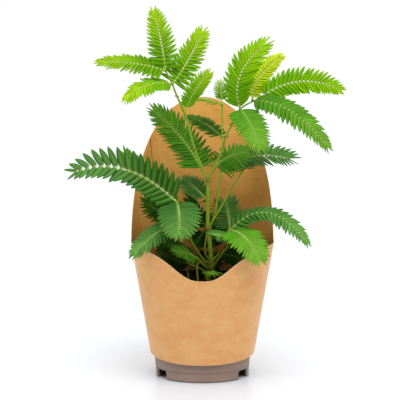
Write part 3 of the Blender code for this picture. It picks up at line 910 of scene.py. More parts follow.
FRONDS = (
    Frond("pinna_01", CROWN, (-37, -10, 303), (-45, -4, 336), (-0.1, -1, 0.1), 14, 17, YOUNG,
          Leaf.SPRING, stalk=2.5, fullness=0.92, sweep=(96, 30), late=0.7, rise=1, closing=0.4,
          form=Form.BLUNT),
    Frond("pinna_02", CROWN_FORK, (-10, 0, 292), (2, 12, 318), (0.1, -1, 0.3), 14, 17, YOUNG,
          Leaf.SPRING, stalk=2.5, sweep=(96, 32), late=0.7, rise=1, closing=0.4, taper=0.25, form=Form.BLUNT),
    Frond("pinna_03", CROWN, (-63, -11, 284), (-98, -14, 285), (0, -0.75, 0.66), 13, 17, YOUNG,
          Leaf.SPRING, stalk=3, sweep=(84, 30), late=0.8, rise=0.9, closing=0.3, form=Form.BLUNT),
    Frond("pinna_04", CROWN_FORK, (-49, -22, 264), (-71, -34, 248), (-0.2, -0.7, 0.7), 13, 15, YOUNG,
          Leaf.SPRING, stalk=3, closing=0.3, light=0.2, form=Form.BLUNT),
    Frond("pinna_05", (-16, -6.5, 239), (-5, -19, 262), (10, -20, 278), (0.5, -0.85, 0.2), 11, 15, YOUNG,
          Leaf.SPRING, stalk=6, fullness=0.95, sweep=(66, 30), closing=0.3, light=0.2, form=Form.BLUNT),
    Frond("pinna_06", (0, 0, 187), (-20, 16, 217), (-51, 14, 247), (0.2, -0.9, 0.4), 20, 21, OLD,
          Leaf.MEADOW, fullness=1.15, sweep=(78, 30), late=1.2, rise=1.06, closing=0.3, left=0.9),
    Frond("pinna_07", LEFT_END, (-74, -20, 190.5), (-124, -12, 182), (0.1, -0.95, 0.3), 20, 16, OLD,
          Leaf.RIVER, droop=-18, fullness=0.96, crowding=-0.1, roll=9, taper=0.36, sweep=(69, 44), late=4,
          rise=1, closing=-0.05, left=0.88, form=Form.LENS),
    Frond("pinna_08", LEFT_END, (-20, -50, 146), (-21.5, -62.5, 124), (0, -0.75, 0.66), 20, 14, OLD,
          Leaf.SILVER, fullness=1.15, roll=24, taper=0.62, sweep=(100, 44), late=0.9, closing=0.5,
          form=Form.BLUNT),
    Frond("pinna_09", LEFT_NODE, (-47, -42, 129), (-63, -58, 112), (-0.2, -0.75, 0.65), 14, 16, OLD,
          Leaf.SILVER, fullness=1.15, sweep=(72, 34), late=1.2),
    Frond("pinna_10", LEFT_NODE, (-42, -6, 152), (-55, 2, 166), (0.3, -0.9, 0.3), 13, 13, OLD,
          Leaf.DEEP, fullness=1.5),
    Frond("pinna_11", LOW_FRONT, (-16, -26, 115), (-28, -38, 116.5), (-0.1, -0.7, 0.7), 13, 11, OLD,
          Leaf.MEADOW, fullness=1.1, light=0.3),
    Frond("pinna_12", SPROUT, (9, -22, 97), (9, -33, 94), (0, -0.4, 0.9), 10, 10, GROWN,
          Leaf.FRESH, stalk=3, fullness=0.8),
    Frond("pinna_13", RIGHT_FORK, (34.5, -22, 275), (61, -20, 305), (-0.35, -0.9, 0.2), 17.5, 19, GROWN,
          Leaf.BRIGHT, stalk=2.5, fullness=1.05, sweep=(62, 28), closing=0.25, taper=0.3, form=Form.BLUNT),
    Frond("pinna_14", (45, -6.5, 250.6), (54, 13, 275), (77, 24, 294), (0.1, -0.85, 0.5), 11, 18, YOUNG,
          Leaf.LIME, fullness=1.3, form=Form.BLUNT),
    Frond("pinna_15", RIGHT_END, (91, 5, 268), (132, 12, 257), (0, -1, -0.1), 15, 20, YOUNG,
          Leaf.BRIGHT, fullness=1.05, sweep=(62, 28), closing=0.2, light=0.32, form=Form.BLUNT),
    Frond("pinna_16", (47, -8, 250), (80, -27, 240), (114, -42, 205), (0.2, -0.75, 0.65), 16, 19, GROWN,
          Leaf.FRESH, stalk=1.5, fullness=1.08, roll=20, late=1.4, closing=0.2),
    Frond("pinna_17", RIGHT_FORK, (45, -40, 225), (53, -54, 202), (0.1, -0.85, 0.5), 16, 18, GROWN,
          Leaf.FRESH, stalk=3, fullness=1.1, roll=24, sweep=(84, 34), late=1.2, rise=0.9),
    Frond("pinna_18", TWIG, (17, 8, 259), (15, 8, 271), (-0.2, -0.95, 0.1), 8, 11, YOUNG,
          Leaf.SPRING, fullness=0.85, form=Form.BLUNT),
    Frond("pinna_19", TWIG_NODE, (1, 24, 230), (-18, 34, 236), (0.2, -0.75, 0.62), 12, 14, OLD,
          Leaf.SHADE, fullness=1.5, roll=16, light=0.15),
    Frond("pinna_20", TWIG, (4, 18, 251), (-7, 26, 252), (0, -0.15, 1), 8, 10, GROWN,
          Leaf.BRIGHT, fullness=1.5),
    Frond("pinna_21", MIDDLE_END, (50, 30, 199), (88, 24, 195), (0, -0.7, 0.7), 17, 17, OLD,
          Leaf.SILVER, droop=-10, stalk=7, fullness=1.12, taper=0.2, sweep=(76, 36), closing=0, light=0.15,
          form=Form.LENS),
    # pinna_22 is painted lighter than its finish: painted light that makes up for the shade that pinna_17 and
    # the sleeve cast on it.
    Frond("pinna_22", (11, -1, 189), (24, 10, 199), (48, 6, 205), (0, -0.75, 0.66), 17, 16, OLD,
          Leaf.MEADOW, droop=8, stalk=2, fullness=1.2, roll=24, sweep=(98, 40), late=1.3, rise=1.1,
          closing=0.3, light=0.42),
    Frond("pinna_23", LOW_RIGHT, (60, -22, 150), (96, -44, 121), (-0.1, -0.45, 0.85), 13.5, 19, OLD,
          Leaf.SILVER, taper=0.5, rise=1, light=0.25),
    Frond("pinna_24", LOW_RIGHT, (39, -48, 129), (53, -64, 106), (0.1, -0.63, 0.77), 18, 17, GROWN,
          Leaf.FRESH, stalk=5, fullness=1.3, roll=22, sweep=(88, 40), late=1.1, rise=0.9, closing=0.35),
    Frond("pinna_25", LOW_RIGHT, (16, -29, 131), (8, -37, 131), (-0.3, -0.8, 0.52), 14, 12, OLD,
          Leaf.SILVER, fullness=1.3, light=0.25),
    Frond("pinna_26", LOW_RIGHT, (24, 10, 146), (20, 26, 164), (0, -0.65, 0.75), 17.5, 17, OLD,
          Leaf.SILVER, fullness=1.9, roll=20, taper=0.2, sweep=(82, 48), closing=0.3, light=-0.1),
    inner("pinna_27", LOW_REAR, (34, 16, 116), (53, 24, 118), (0, -0.4, 0.92), 13, 12, stalk=8),
    Frond("pinna_28", HIGH_NODE, (-9, 16, 172), (-23, 24, 181), (0, -0.7, 0.7), 15, 13, OLD,
          Leaf.SILVER, fullness=1.4, roll=22, closing=0.4, light=0.2),
    inner("pinna_29", LOW_LEFT, (-30, -20, 110), (-40, -34, 118), (-0.2, -0.7, 0.7), 12, 11, fullness=1.7),
    Frond("pinna_30", REAR_END, (44, 36, 196), (50, 52, 200), (0, -0.6, 0.8), 11, 12, OLD,
          Leaf.DEEP, fullness=1.3),
    inner("pinna_31", LOW_REAR_LEFT, (-30, 16, 116), (-48, 12, 126), (0, -0.7, 0.7), 12, 12, fullness=1.7),
    Frond("pinna_32", (-22, -20, 155), (-54, -4, 182), (-75, 4, 209), (-0.1, -0.9, 0.4), 15, 14, GROWN,
          Leaf.MEADOW, fullness=1.15, roll=12, sweep=(62, 36), taper=0.35, closing=-0.1, light=0.2,
          form=Form.LENS),
    inner("pinna_33", MID_NODE, (-4, 18, 142), (-18, 30, 152), (0, -0.7, 0.7), 16, 11, fullness=1.8, rise=1),
    inner("pinna_34", LOW_REAR, (31, -1, 108), (47, -8, 102), (0.1, -0.7, 0.7), 12, 11),
    inner("pinna_35", LOW_LEFT, (-33, -2, 102), (-51, 0, 108), (0, -0.7, 0.7), 12, 10, stalk=6),
    inner("pinna_36", MID_NODE, (-2, 8, 126), (-9, 12, 114), (0, -0.9, 0.4), 10, 8, stalk=7),
    inner("pinna_37", MID_NODE, (14, 8, 131), (25, 12, 126), (0, -0.9, 0.4), 13, 8),
    inner("pinna_38", HIGH_NODE, (-9, 3, 153), (-21, 6, 142), (0, -0.9, 0.4), 15, 10, stalk=7,
          fullness=1.7, rise=1, taper=0.3),
    inner("pinna_39", LOW_REAR_LEFT, (4, 20, 102), (22, 27, 101), (0, -0.95, 0.3), 13, 11),
    inner("pinna_40", LOW_REAR, (9, 19, 121), (5, 31, 131), (0, -0.7, 0.7), 15, 9, stalk=9, taper=0.2),
)


class Rib:
    """The curve of a pinna's rib through its root, middle and tip, walked by length."""

    STEPS = 60

    def __init__(self, frond: Frond) -> None:
        """Measure the curve of a frond.

        Args:
            frond: The frond.
        """
        self.root = Vector(frond.root)
        self.tip = Vector(frond.tip)
        self.pull = 2.0 * Vector(frond.middle) - 0.5 * (self.root + self.tip)
        self.face = Vector(frond.face).normalized()
        spots = [self.at(step / self.STEPS) for step in range(self.STEPS + 1)]
        self.lengths = [0.0]
        for before, after in zip(spots, spots[1:]):
            self.lengths.append(self.lengths[-1] + (after - before).length)

    def at(self, share: float) -> Vector:
        """Return the point at a share of the curve's own parameter."""
        back = 1.0 - share
        return back * back * self.root + 2.0 * share * back * self.pull + share * share * self.tip

    def walk(self, distance: float) -> tuple[Vector, Vector, Vector, Vector]:
        """Walk along the rib.

        Args:
            distance: How far from the root.

        Returns:
            The point there, and the ways ahead, to the right and up.
        """
        step = max(1, sum(1 for length in self.lengths[1:-1] if length < distance) + 1)
        span = self.lengths[step] - self.lengths[step - 1]
        share = (step - 1 + (distance - self.lengths[step - 1]) / span) / self.STEPS
        ahead = ((1.0 - share) * (self.pull - self.root) + share * (self.tip - self.pull)).normalized()
        right = ahead.cross(self.face).normalized()
        return self.at(share), ahead, right, right.cross(ahead)


class Hand(Enum):
    """The side of the rib that a leaflet grows on."""

    RIGHT = 1.0
    LEFT = -1.0


class Curl(Enum):
    """How far a leaflet's tip bends down, as a share of its length."""

    FLAT = 0.02
    ARCHED = 0.07
    CURLED = 0.13


@dataclass
class LeafletStock:
    """The leaflet models that every pinna is set with: oblong, blunt and slightly curved.

    Attributes:
        length: The model's length.
        width: The model's width.
        thickness: The blade's thickness.
        across: The number of faces across.
        along: The number of faces from base to tip.
        arch: How far the edges fall below the middle.
        lean: How far the tip leans forward, as a share of the length.
        gap: How far the blade starts from the rib's middle.
        pale_length: How far the paleness at its base reaches, and how pale it is.
        foot: The half sizes of the pale foot that joins the leaflet to the rib.
        foot_place: Where the middle of that foot is.
        models: The finished models, by outline, side and curl.
    """

    WAIT = 10.0

    length: float = 15.0
    width: float = 4.6
    thickness: float = 0.24
    across: int = 4
    along: int = 7
    arch: float = 0.26
    lean: float = 0.09
    gap: float = 0.15
    pale_length: Pair = (1.6, 0.3)
    foot: Point = (0.56, 0.42, 0.30)
    foot_place: Point = (0, 0.05, 0.3)
    models: dict[tuple[Form, Hand, Curl], bpy.types.Object] = field(default_factory=dict)

    def build(self) -> None:
        """Model every kind of leaflet once."""
        for form in Form:
            for hand in Hand:
                for curl in Curl:
                    self.models[form, hand, curl] = self._model(form, hand, curl)

    def _model(self, form: Form, hand: Hand, curl: Curl) -> bpy.types.Object:
        """Model one leaflet flat along +Y, then bend, thicken and foot it.

        Args:
            form: Its outline.
            hand: Its side of the rib.
            curl: How far its tip bends down.

        Returns:
            The model, out of the scene.
        """
        grid = bpy.ops.mesh.primitive_grid_add
        blade = fresh(grid, x_subdivisions=self.across, y_subdivisions=self.along, size=1.0)
        columns = sorted({round(vertex.co.x, 4) for vertex in blade.data.vertices})
        rows = sorted({round(vertex.co.y, 4) for vertex in blade.data.vertices})
        for column in columns:
            edit_points(blade, lambda spot, x=column: abs(spot.x - x) < NEAR)
            bpy.ops.transform.translate(value=(0, 0, -self.arch * (2.0 * column) ** 2))
        for row, half in zip(rows, form.value):
            share = row + 0.5
            edit_points(blade, lambda spot, y=row: abs(spot.y - y) < NEAR)
            bpy.ops.transform.resize(value=(half * self.width, 1.0, 1.0))
            lean = -hand.value * self.lean * self.length * share ** 2
            bend = -curl.value * self.length * share ** 2.2
            # A row that is done waits far out on the length axis, so that no later row picks it up.
            bpy.ops.transform.translate(value=(lean, self.WAIT + share * self.length - row, bend))
        edit_points(blade, lambda spot: True)
        bpy.ops.transform.translate(value=(0, -self.WAIT + self.gap, 0))
        bpy.ops.object.mode_set(mode="OBJECT")
        apply_modifier(blade, "SOLIDIFY", thickness=self.thickness, offset=0.0)
        bpy.ops.object.shade_smooth()
        mark_each(blade.data, "under", lambda vertex: 1.0 if vertex.normal.z < -0.2 else 0.0)
        reach, paleness = self.pale_length
        mark_each(blade.data, "pale", lambda vertex: paleness * smooth_step(1.0 - vertex.co.y / reach))
        model = join([blade, self._foot()], f"leaflet_{form.name}_{hand.name}_{curl.name}".lower())
        deselect()
        bpy.context.scene.collection.objects.unlink(model)
        return model

    def _foot(self) -> bpy.types.Object:
        """Model the small pale swelling at a leaflet's base.

        Returns:
            The swelling.
        """
        foot = fresh(bpy.ops.mesh.primitive_uv_sphere_add, segments=8, ring_count=5, radius=1.0)
        bpy.ops.transform.resize(value=self.foot)
        bpy.ops.transform.translate(value=self.foot_place)
        bpy.ops.object.transform_apply(location=True, rotation=True, scale=True)
        bpy.ops.object.shade_smooth()
        mark(foot.data, under=0.0, pale=1.0)
        return foot


@dataclass
class Pinna:
    """One feathery pinna with its rib, its leaflets and the tapered tip.

    Attributes:
        frond: Its place and form.
        stock: The leaflet models.
        draw: The source of its small irregularities.
        tones: The least and the most that the whole pinna's tone is off.
        sweeps: The same for a leaflet's angle to the rib, in degrees.
        droops: The same for how far it hangs, in degrees.
        rolls: The same for how far it is turned about its length, as a share.
        lengths: The same for its length, as a share.
        own_tones: The same for its tone.
        full: The shares of the rib at which leaflets reach full length and begin to shorten.
        start_gap: How far from the joint's middle the rib starts.
        end_share: How far the rib ends before the tip, as a share of the reach.
        overlap: How much wider than the room between them the leaflets are.
        beside: How far beside the rib's middle a leaflet starts.
        last_back: How far before the rib's end the last pair starts, as a share of the room of a pair.
        last_width: How wide the last pair is, as a share of the others.
        last_sweep: The angle between the last pair and the rib, as a share of the others'.
        least_turn: The angle below which a leaflet gets no narrower, in degrees.
        rib_radius: The rib's radius at its start.
        tip_radius: The rib's radius at its end.
        rib_steps: The number of lengths that the rib is made of.
        rib_crowding: How much closer they stand at its start.
        swelling: How much thicker the rib is where it starts, and how far that reaches.
        collar: How far the swelling reaches back to the joint.
    """

    # A share above 1 marks the last pair, which closes the tip.
    PAST_END = 1.2

    frond: Frond
    stock: LeafletStock
    draw: random.Random
    tones: Pair = (-0.12, 0.12)
    sweeps: Pair = (-2.5, 2.5)
    droops: Pair = (-3.0, 3.0)
    rolls: Pair = (0.7, 1.3)
    lengths: Pair = (0.96, 1.04)
    own_tones: Pair = (-0.25, 0.25)
    full: Pair = (0.25, 0.5)
    start_gap: float = 1.85
    end_share: float = 0.55
    overlap: float = 1.24
    beside: float = 0.1
    last_back: float = 0.3
    last_width: float = 0.75
    last_sweep: float = 0.58
    least_turn: float = 34.0
    rib_radius: float = 0.42
    tip_radius: float = 0.2
    rib_steps: int = 26
    rib_crowding: float = 1.3
    swelling: Pair = (0.6, 3.2)
    collar: float = 0.6

    def build(self) -> bpy.types.Object:
        """Build the whole pinna.

        Returns:
            The pinna as one object.
        """
        rib = Rib(self.frond)
        total = rib.lengths[-1] - self.end_share * self.frond.reach
        first = self.start_gap + self.frond.stalk
        parts = [self._rib_tube(rib, total)]
        tone = self.frond.light + self.draw.uniform(*self.tones)
        stations = [first + (total - first) * self._station(step / self.frond.pairs)
                    for step in range(self.frond.pairs + 1)]
        for index, (low, high) in enumerate(zip(stations, stations[1:])):
            share = index / (self.frond.pairs - 1)
            for hand in Hand:
                parts.append(self._leaflet(rib, hand, low, high - low, share, tone))
        last = stations[-1] - stations[-2]
        for hand in Hand:
            parts.append(self._leaflet(rib, hand, total - self.last_back * last, last, self.PAST_END, tone))
        return join(parts, self.frond.name + "_leaflets")

    def _station(self, share: float) -> float:
        """Crowd the leaflets towards the tip."""
        return share * (1.0 + self.frond.crowding * (1.0 - share))

    def _length(self, share: float) -> float:
        """Say how long a leaflet is.

        Args:
            share: Its share of the way to the tip.

        Returns:
            Its length as a share of the reach.
        """
        full, fading = self.full
        rise = self.frond.rise + (1.0 - self.frond.rise) * min(1.0, share / full)
        fall = max(0.0, (min(share, 1.0) - fading) / (1.0 - fading))
        return rise * (1.0 - self.frond.taper * fall * fall)

    def _leaflet(
        self, rib: Rib, hand: Hand, distance: float, pitch: float, share: float, tone: float
    ) -> bpy.types.Object:
        """Place one leaflet.

        Args:
            rib: The rib that it grows on.
            hand: Its side of the rib.
            distance: How far along the rib it starts.
            pitch: The room that it has along the rib.
            share: Its share of the way to the tip.
            tone: The pinna's own tone.

        Returns:
            The placed copy.
        """
        draw = self.draw
        spot, ahead, right, up = rib.walk(distance)
        wide, narrow = self.frond.sweep
        sweep = wide + (narrow - wide) * min(share, 1.0) ** self.frond.late
        sweep += draw.uniform(*self.sweeps)
        sweep = math.radians(sweep * (1.0 if share <= 1.0 else self.last_sweep))
        sink = math.radians(self.frond.droop + draw.uniform(*self.droops))
        out = math.cos(sink) * hand.value * right - math.sin(sink) * up
        along = math.cos(sweep) * ahead + math.sin(sweep) * out
        lift = math.cos(sink) * up + math.sin(sink) * hand.value * right
        side = along.cross(lift).normalized()
        roll = math.radians(hand.value * self.frond.roll * draw.uniform(*self.rolls))
        width_axis = math.cos(roll) * side + math.sin(roll) * lift
        lift_axis = width_axis.cross(along).normalized()
        length = self.frond.reach * self._length(share) * draw.uniform(*self.lengths)
        length /= self.stock.length
        if hand is Hand.LEFT:
            length *= self.frond.left
        width = self.frond.fullness * pitch * math.sin(max(sweep, math.radians(self.least_turn)))
        width *= self.overlap / self.stock.width * (1.0 + self.frond.closing * min(1.0, share) ** 2)
        if share > 1.0:
            width *= self.last_width
        place = Matrix((width * width_axis, length * along, lift_axis)).transposed().to_4x4()
        place.translation = spot + self.beside * hand.value * right
        curl = draw.choice(tuple(Curl))
        part = copy_of(self.stock.models[self.frond.form, hand, curl], place)
        mark(part.data, along=min(1.0, share), tone=0.5 + tone + draw.uniform(*self.own_tones))
        return part

    def _rib_tube(self, rib: Rib, total: float) -> bpy.types.Object:
        """Build the tapered rib, with the swelling that it moves on at its root.

        Args:
            rib: The rib's curve.
            total: How far along the curve it ends.

        Returns:
            The rib.
        """
        spots = []
        radii = []
        thicker, reach = self.swelling
        span = total - self.start_gap + self.collar
        for step in range(self.rib_steps + 1):
            share = step / self.rib_steps
            distance = self.start_gap - self.collar + span * share ** self.rib_crowding
            spots.append(rib.walk(distance)[0])
            swell = thicker * (1.0 - smooth_step((distance - self.start_gap) / reach))
            radii.append(self.rib_radius + (self.tip_radius - self.rib_radius) * share + swell)
        part = tube("rib", spots, radii)
        mark(part.data, under=0.0, pale=0.5, tone=0.5, along=0.5)
        return part


@dataclass(frozen=True)
class Stem:
    """One tapered stem or petiole.

    Attributes:
        points: The points of its centre line.
        start: Its radius at the start.
        end: Its radius at the end.
        joint: Whether it ends in the swelling that pinnae grow from.
    """

    points: tuple[Point, ...]
    start: float
    end: float
    joint: bool = True

    def radius(self, share: float) -> float:
        """Return its radius at a share of the way along it."""
        return self.start + (self.end - self.start) * share

    def smooth_points(self, steps: int = 6) -> list[Vector]:
        """Draw a smooth curve through the stem's own points.

        Args:
            steps: The number of points from one of its own points to the next.

        Returns:
            The curve's points.
        """
        spots = [Vector(point) for point in self.points]
        spots = [2.0 * spots[0] - spots[1]] + spots + [2.0 * spots[-1] - spots[-2]]
        curve = []
        for before, here, after, beyond in zip(spots, spots[1:], spots[2:], spots[3:]):
            slope = after - before
            bend = 2.0 * before - 5.0 * here + 4.0 * after - beyond
            twist = 3.0 * here - before - 3.0 * after + beyond
            for step in range(steps):
                share = step / steps
                curve.append(0.5 * (2.0 * here + share * slope + share ** 2 * bend + share ** 3 * twist))
        return curve + [spots[-2]]


TRUNK = Stem(
    ((5, 0, 62), (5, 0, 86), (8, 0, 100), (7, 0, 118), (5, 0, 135), (5, 1, 160), (5, 0, 179)), 2.6, 1.5
)
FORK = (5, 0, 178)
BRANCHES = (
    Stem((FORK, (2, -1, 184), (-8, -2, 210), (-14, -5, 233), (-24, -6, 257), CROWN_FORK, CROWN), 1.4, 0.8),
    Stem((FORK, (8, -1, 185), (16, -3, 201), (21, -5, 217), (26, -8, 228), RIGHT_FORK, RIGHT_END), 1.3, 0.8),
    Stem(((19, -4, 211), TWIG_NODE, (18, 5, 230), TWIG), 0.8, 0.7),
    Stem(((6, 0, 131), (12, 2, 150), (15, 2, 172), MIDDLE_END), 1.2, 0.9),
    Stem(((5, 0, 134), (13, 0, 147), (25, 5, 167), REAR_END), 1.1, 0.8),
    Stem(((7, 0, 94), (16, -6, 109), (24, -12, 121), LOW_RIGHT), 1.1, 0.8),
    Stem(((7, 0, 102), (0, -3, 107), (-11, -11, 125), LEFT_NODE, LEFT_END), 1.1, 0.8),
    Stem(((7, 0, 96), (2, -7, 103), LOW_FRONT), 0.9, 0.7),
    Stem(((6, 0, 90), (9, -5, 94), SPROUT), 0.8, 0.7),
    Stem(((7, 0, 98), (11, 3, 106), LOW_REAR), 0.9, 0.7),
    Stem(((6, 0, 92), (-3, -2, 98), LOW_LEFT), 0.9, 0.7),
    Stem(((7, 0, 95), (0, 4, 101), LOW_REAR_LEFT), 0.9, 0.7),
    Stem(((7, 0, 104), (2, -3, 114), (4.5, -4, 131)), 0.8, 0.6, False),
)
# Where dry scales stand: the stem, the share of the way along it, and their size.
SCALY_NODES = (
    (TRUNK, 0.18, 1.0), (TRUNK, 0.30, 1.0), (TRUNK, 0.36, 0.8), (TRUNK, 0.45, 1.0), (TRUNK, 0.56, 0.9),
    (TRUNK, 0.64, 1.0), (TRUNK, 0.98, 0.9), (BRANCHES[0], 0.33, 0.7), (BRANCHES[0], 0.64, 0.6),
    (BRANCHES[1], 0.52, 0.7), (BRANCHES[1], 0.68, 0.6), (BRANCHES[3], 0.30, 0.6),
)
SHOOTS = {
    "shoot_left": Stem(((-4, -18, 66), (-4, -17, 86), (-5, -15, 100), (-3, -14, 105)), 0.9, 0.6, False),
    "shoot_outer": Stem(((-12, -22, 68), (-12, -21, 86), (-14, -19, 100)), 0.8, 0.5, False),
}


@dataclass
class Stems:
    """The trunk with its branches, petioles, joints and dry scales.

    Attributes:
        draw: The source of its small irregularities.
        slim: The share of a branch's radius that is shown.
        joint_radius: The radius of the swelling where pinnae grow.
        scale_length: The length of a dry scale.
        fork_stain: How brown the bark is where stems fork.
        stain_length: How far that brown reaches.
        low_fork: The height below which a branch's start makes it a low one.
        low_share: The share of a low branch's radius that is shown.
        lumps: How deep the dents of a joint are, as a share of its radius, and their number a millimetre.
        joint_dry: How brown a joint is.
        scale_dry: How brown a dry scale is.
        scale_turns: Where the scales of a node stand round the stem, in radians.
        turn_errors: The least and the most that such a turn is off.
        scale_leans: The least and the most that a scale leans along the stem.
        scale_seat: How far from the stem's middle a scale starts, as a share of its radius.
        shoot_bud: The way that the bud of a shoot points.
        shoot_bud_length: The length of that bud.
    """

    KNOTS = ((0.05, 37.0, 0.0), (0.04, 13.0, 1.0))
    BUD = ((0.0, 0.13), (0.2, 0.19), (0.45, 0.17), (0.7, 0.11), (0.9, 0.05), (1.0, 0.012))

    draw: random.Random
    slim: float = 0.88
    joint_radius: float = 1.25
    scale_length: float = 4.0
    fork_stain: float = 0.65
    stain_length: float = 5.0
    low_fork: float = 120.0
    low_share: float = 1.05
    lumps: Pair = (0.12, 1.4)
    joint_dry: float = 0.22
    scale_dry: float = 0.7
    scale_turns: Point = (0.0, 2.4, 4.1)
    turn_errors: Pair = (-0.5, 0.5)
    scale_leans: Pair = (0.5, 1.1)
    scale_seat: float = 0.7
    shoot_bud: Point = (0.1, -0.2, 1.0)
    shoot_bud_length: float = 3.0

    def build(self) -> bpy.types.Object:
        """Build the trunk with all that has grown on it.

        Returns:
            The stems as one object.
        """
        parts = [self._stem(TRUNK, 4)]
        for stem in BRANCHES:
            low = stem.points[0][2] < self.low_fork
            parts.append(self._stem(stem, 3, self.low_share if low else self.slim))
        ends = {stem.points[-1] for stem in BRANCHES if stem.joint}
        for spot in sorted(ends | {frond.root for frond in FRONDS}):
            parts.append(self._joint(Vector(spot)))
        parts += self._scales()
        return join(parts, "stems_with_scales")

    def build_shoot(self, name: str, stem: Stem) -> bpy.types.Object:
        """Return one slender shoot that stands by itself, with its bud."""
        bud = self._bud(stem.smooth_points()[-1], Vector(self.shoot_bud), self.shoot_bud_length)
        return join([self._stem(stem, 3), bud], name + "_with_bud")

    def _stem(self, stem: Stem, roundness: int, slim: float = 1.0) -> bpy.types.Object:
        """Build one stem with slight swellings along it.

        Args:
            stem: Its form.
            roundness: The bevel's resolution.
            slim: The share of its radius that is shown.

        Returns:
            The stem.
        """
        spots = stem.smooth_points()
        radii = []
        for index in range(len(spots)):
            share = index / (len(spots) - 1)
            knots = sum(height * math.sin(share * number + start) for height, number, start in self.KNOTS)
            radii.append(slim * stem.radius(share) * (1.0 + knots))
        part = tube("stem", spots, radii, roundness)
        mark_each(part.data, "dry", self._stain)
        return part

    def _stain(self, vertex: Vertex) -> float:
        """Say how brown the bark is, most of all where stems fork.

        Args:
            vertex: A vertex of the bark.

        Returns:
            How brown it is there.
        """
        forks = (Vector(stem.points[0]) for stem in BRANCHES)
        nearest = min((vertex.co - fork).length for fork in forks)
        return self.fork_stain * (1.0 - smooth_step(nearest / self.stain_length))

    def _joint(self, spot: Vector) -> bpy.types.Object:
        """Build the swelling that a pinna grows from.

        Args:
            spot: Its middle.

        Returns:
            The swelling.
        """
        ball = bpy.ops.mesh.primitive_ico_sphere_add
        part = fresh(ball, subdivisions=3, radius=self.joint_radius, location=spot)
        bpy.ops.object.transform_apply(location=True)
        depth, number = self.lumps
        for vertex in part.data.vertices:
            vertex.co += depth * noise.noise(vertex.co * number) * (vertex.co - spot)
        bpy.ops.object.shade_smooth()
        mark(part.data, dry=self.joint_dry)
        return part

    def _bud(self, spot: Vector, way: Vector, length: float) -> bpy.types.Object:
        """Build a small pointed scale or bud.

        Args:
            spot: Where it sits.
            way: The way that it points.
            length: Its length.

        Returns:
            The bud.
        """
        way = way.normalized()
        spots = [spot + way * length * along for along, _ in self.BUD]
        radii = [length * half for _, half in self.BUD]
        part = tube("bud", spots, radii, 1)
        mark(part.data, dry=self.scale_dry)
        return part

    def _scales(self) -> list[bpy.types.Object]:
        """Build dry scales at the nodes of the trunk and the branches.

        Returns:
            The scales.
        """
        scales = []
        for stem, share, size in SCALY_NODES:
            spots = stem.smooth_points()
            index = min(len(spots) - 2, int(share * (len(spots) - 1)))
            spot = spots[index]
            ahead = (spots[index + 1] - spot).normalized()
            for turn in self.scale_turns:
                angle = turn + self.draw.uniform(*self.turn_errors)
                out = Vector((math.cos(angle), math.sin(angle), 0.0))
                way = out + ahead * self.draw.uniform(*self.scale_leans)
                start = spot + out * stem.radius(share) * self.scale_seat
                scales.append(self._bud(start, way, self.scale_length * size))
        return scales


# Pot, soil and sleeve


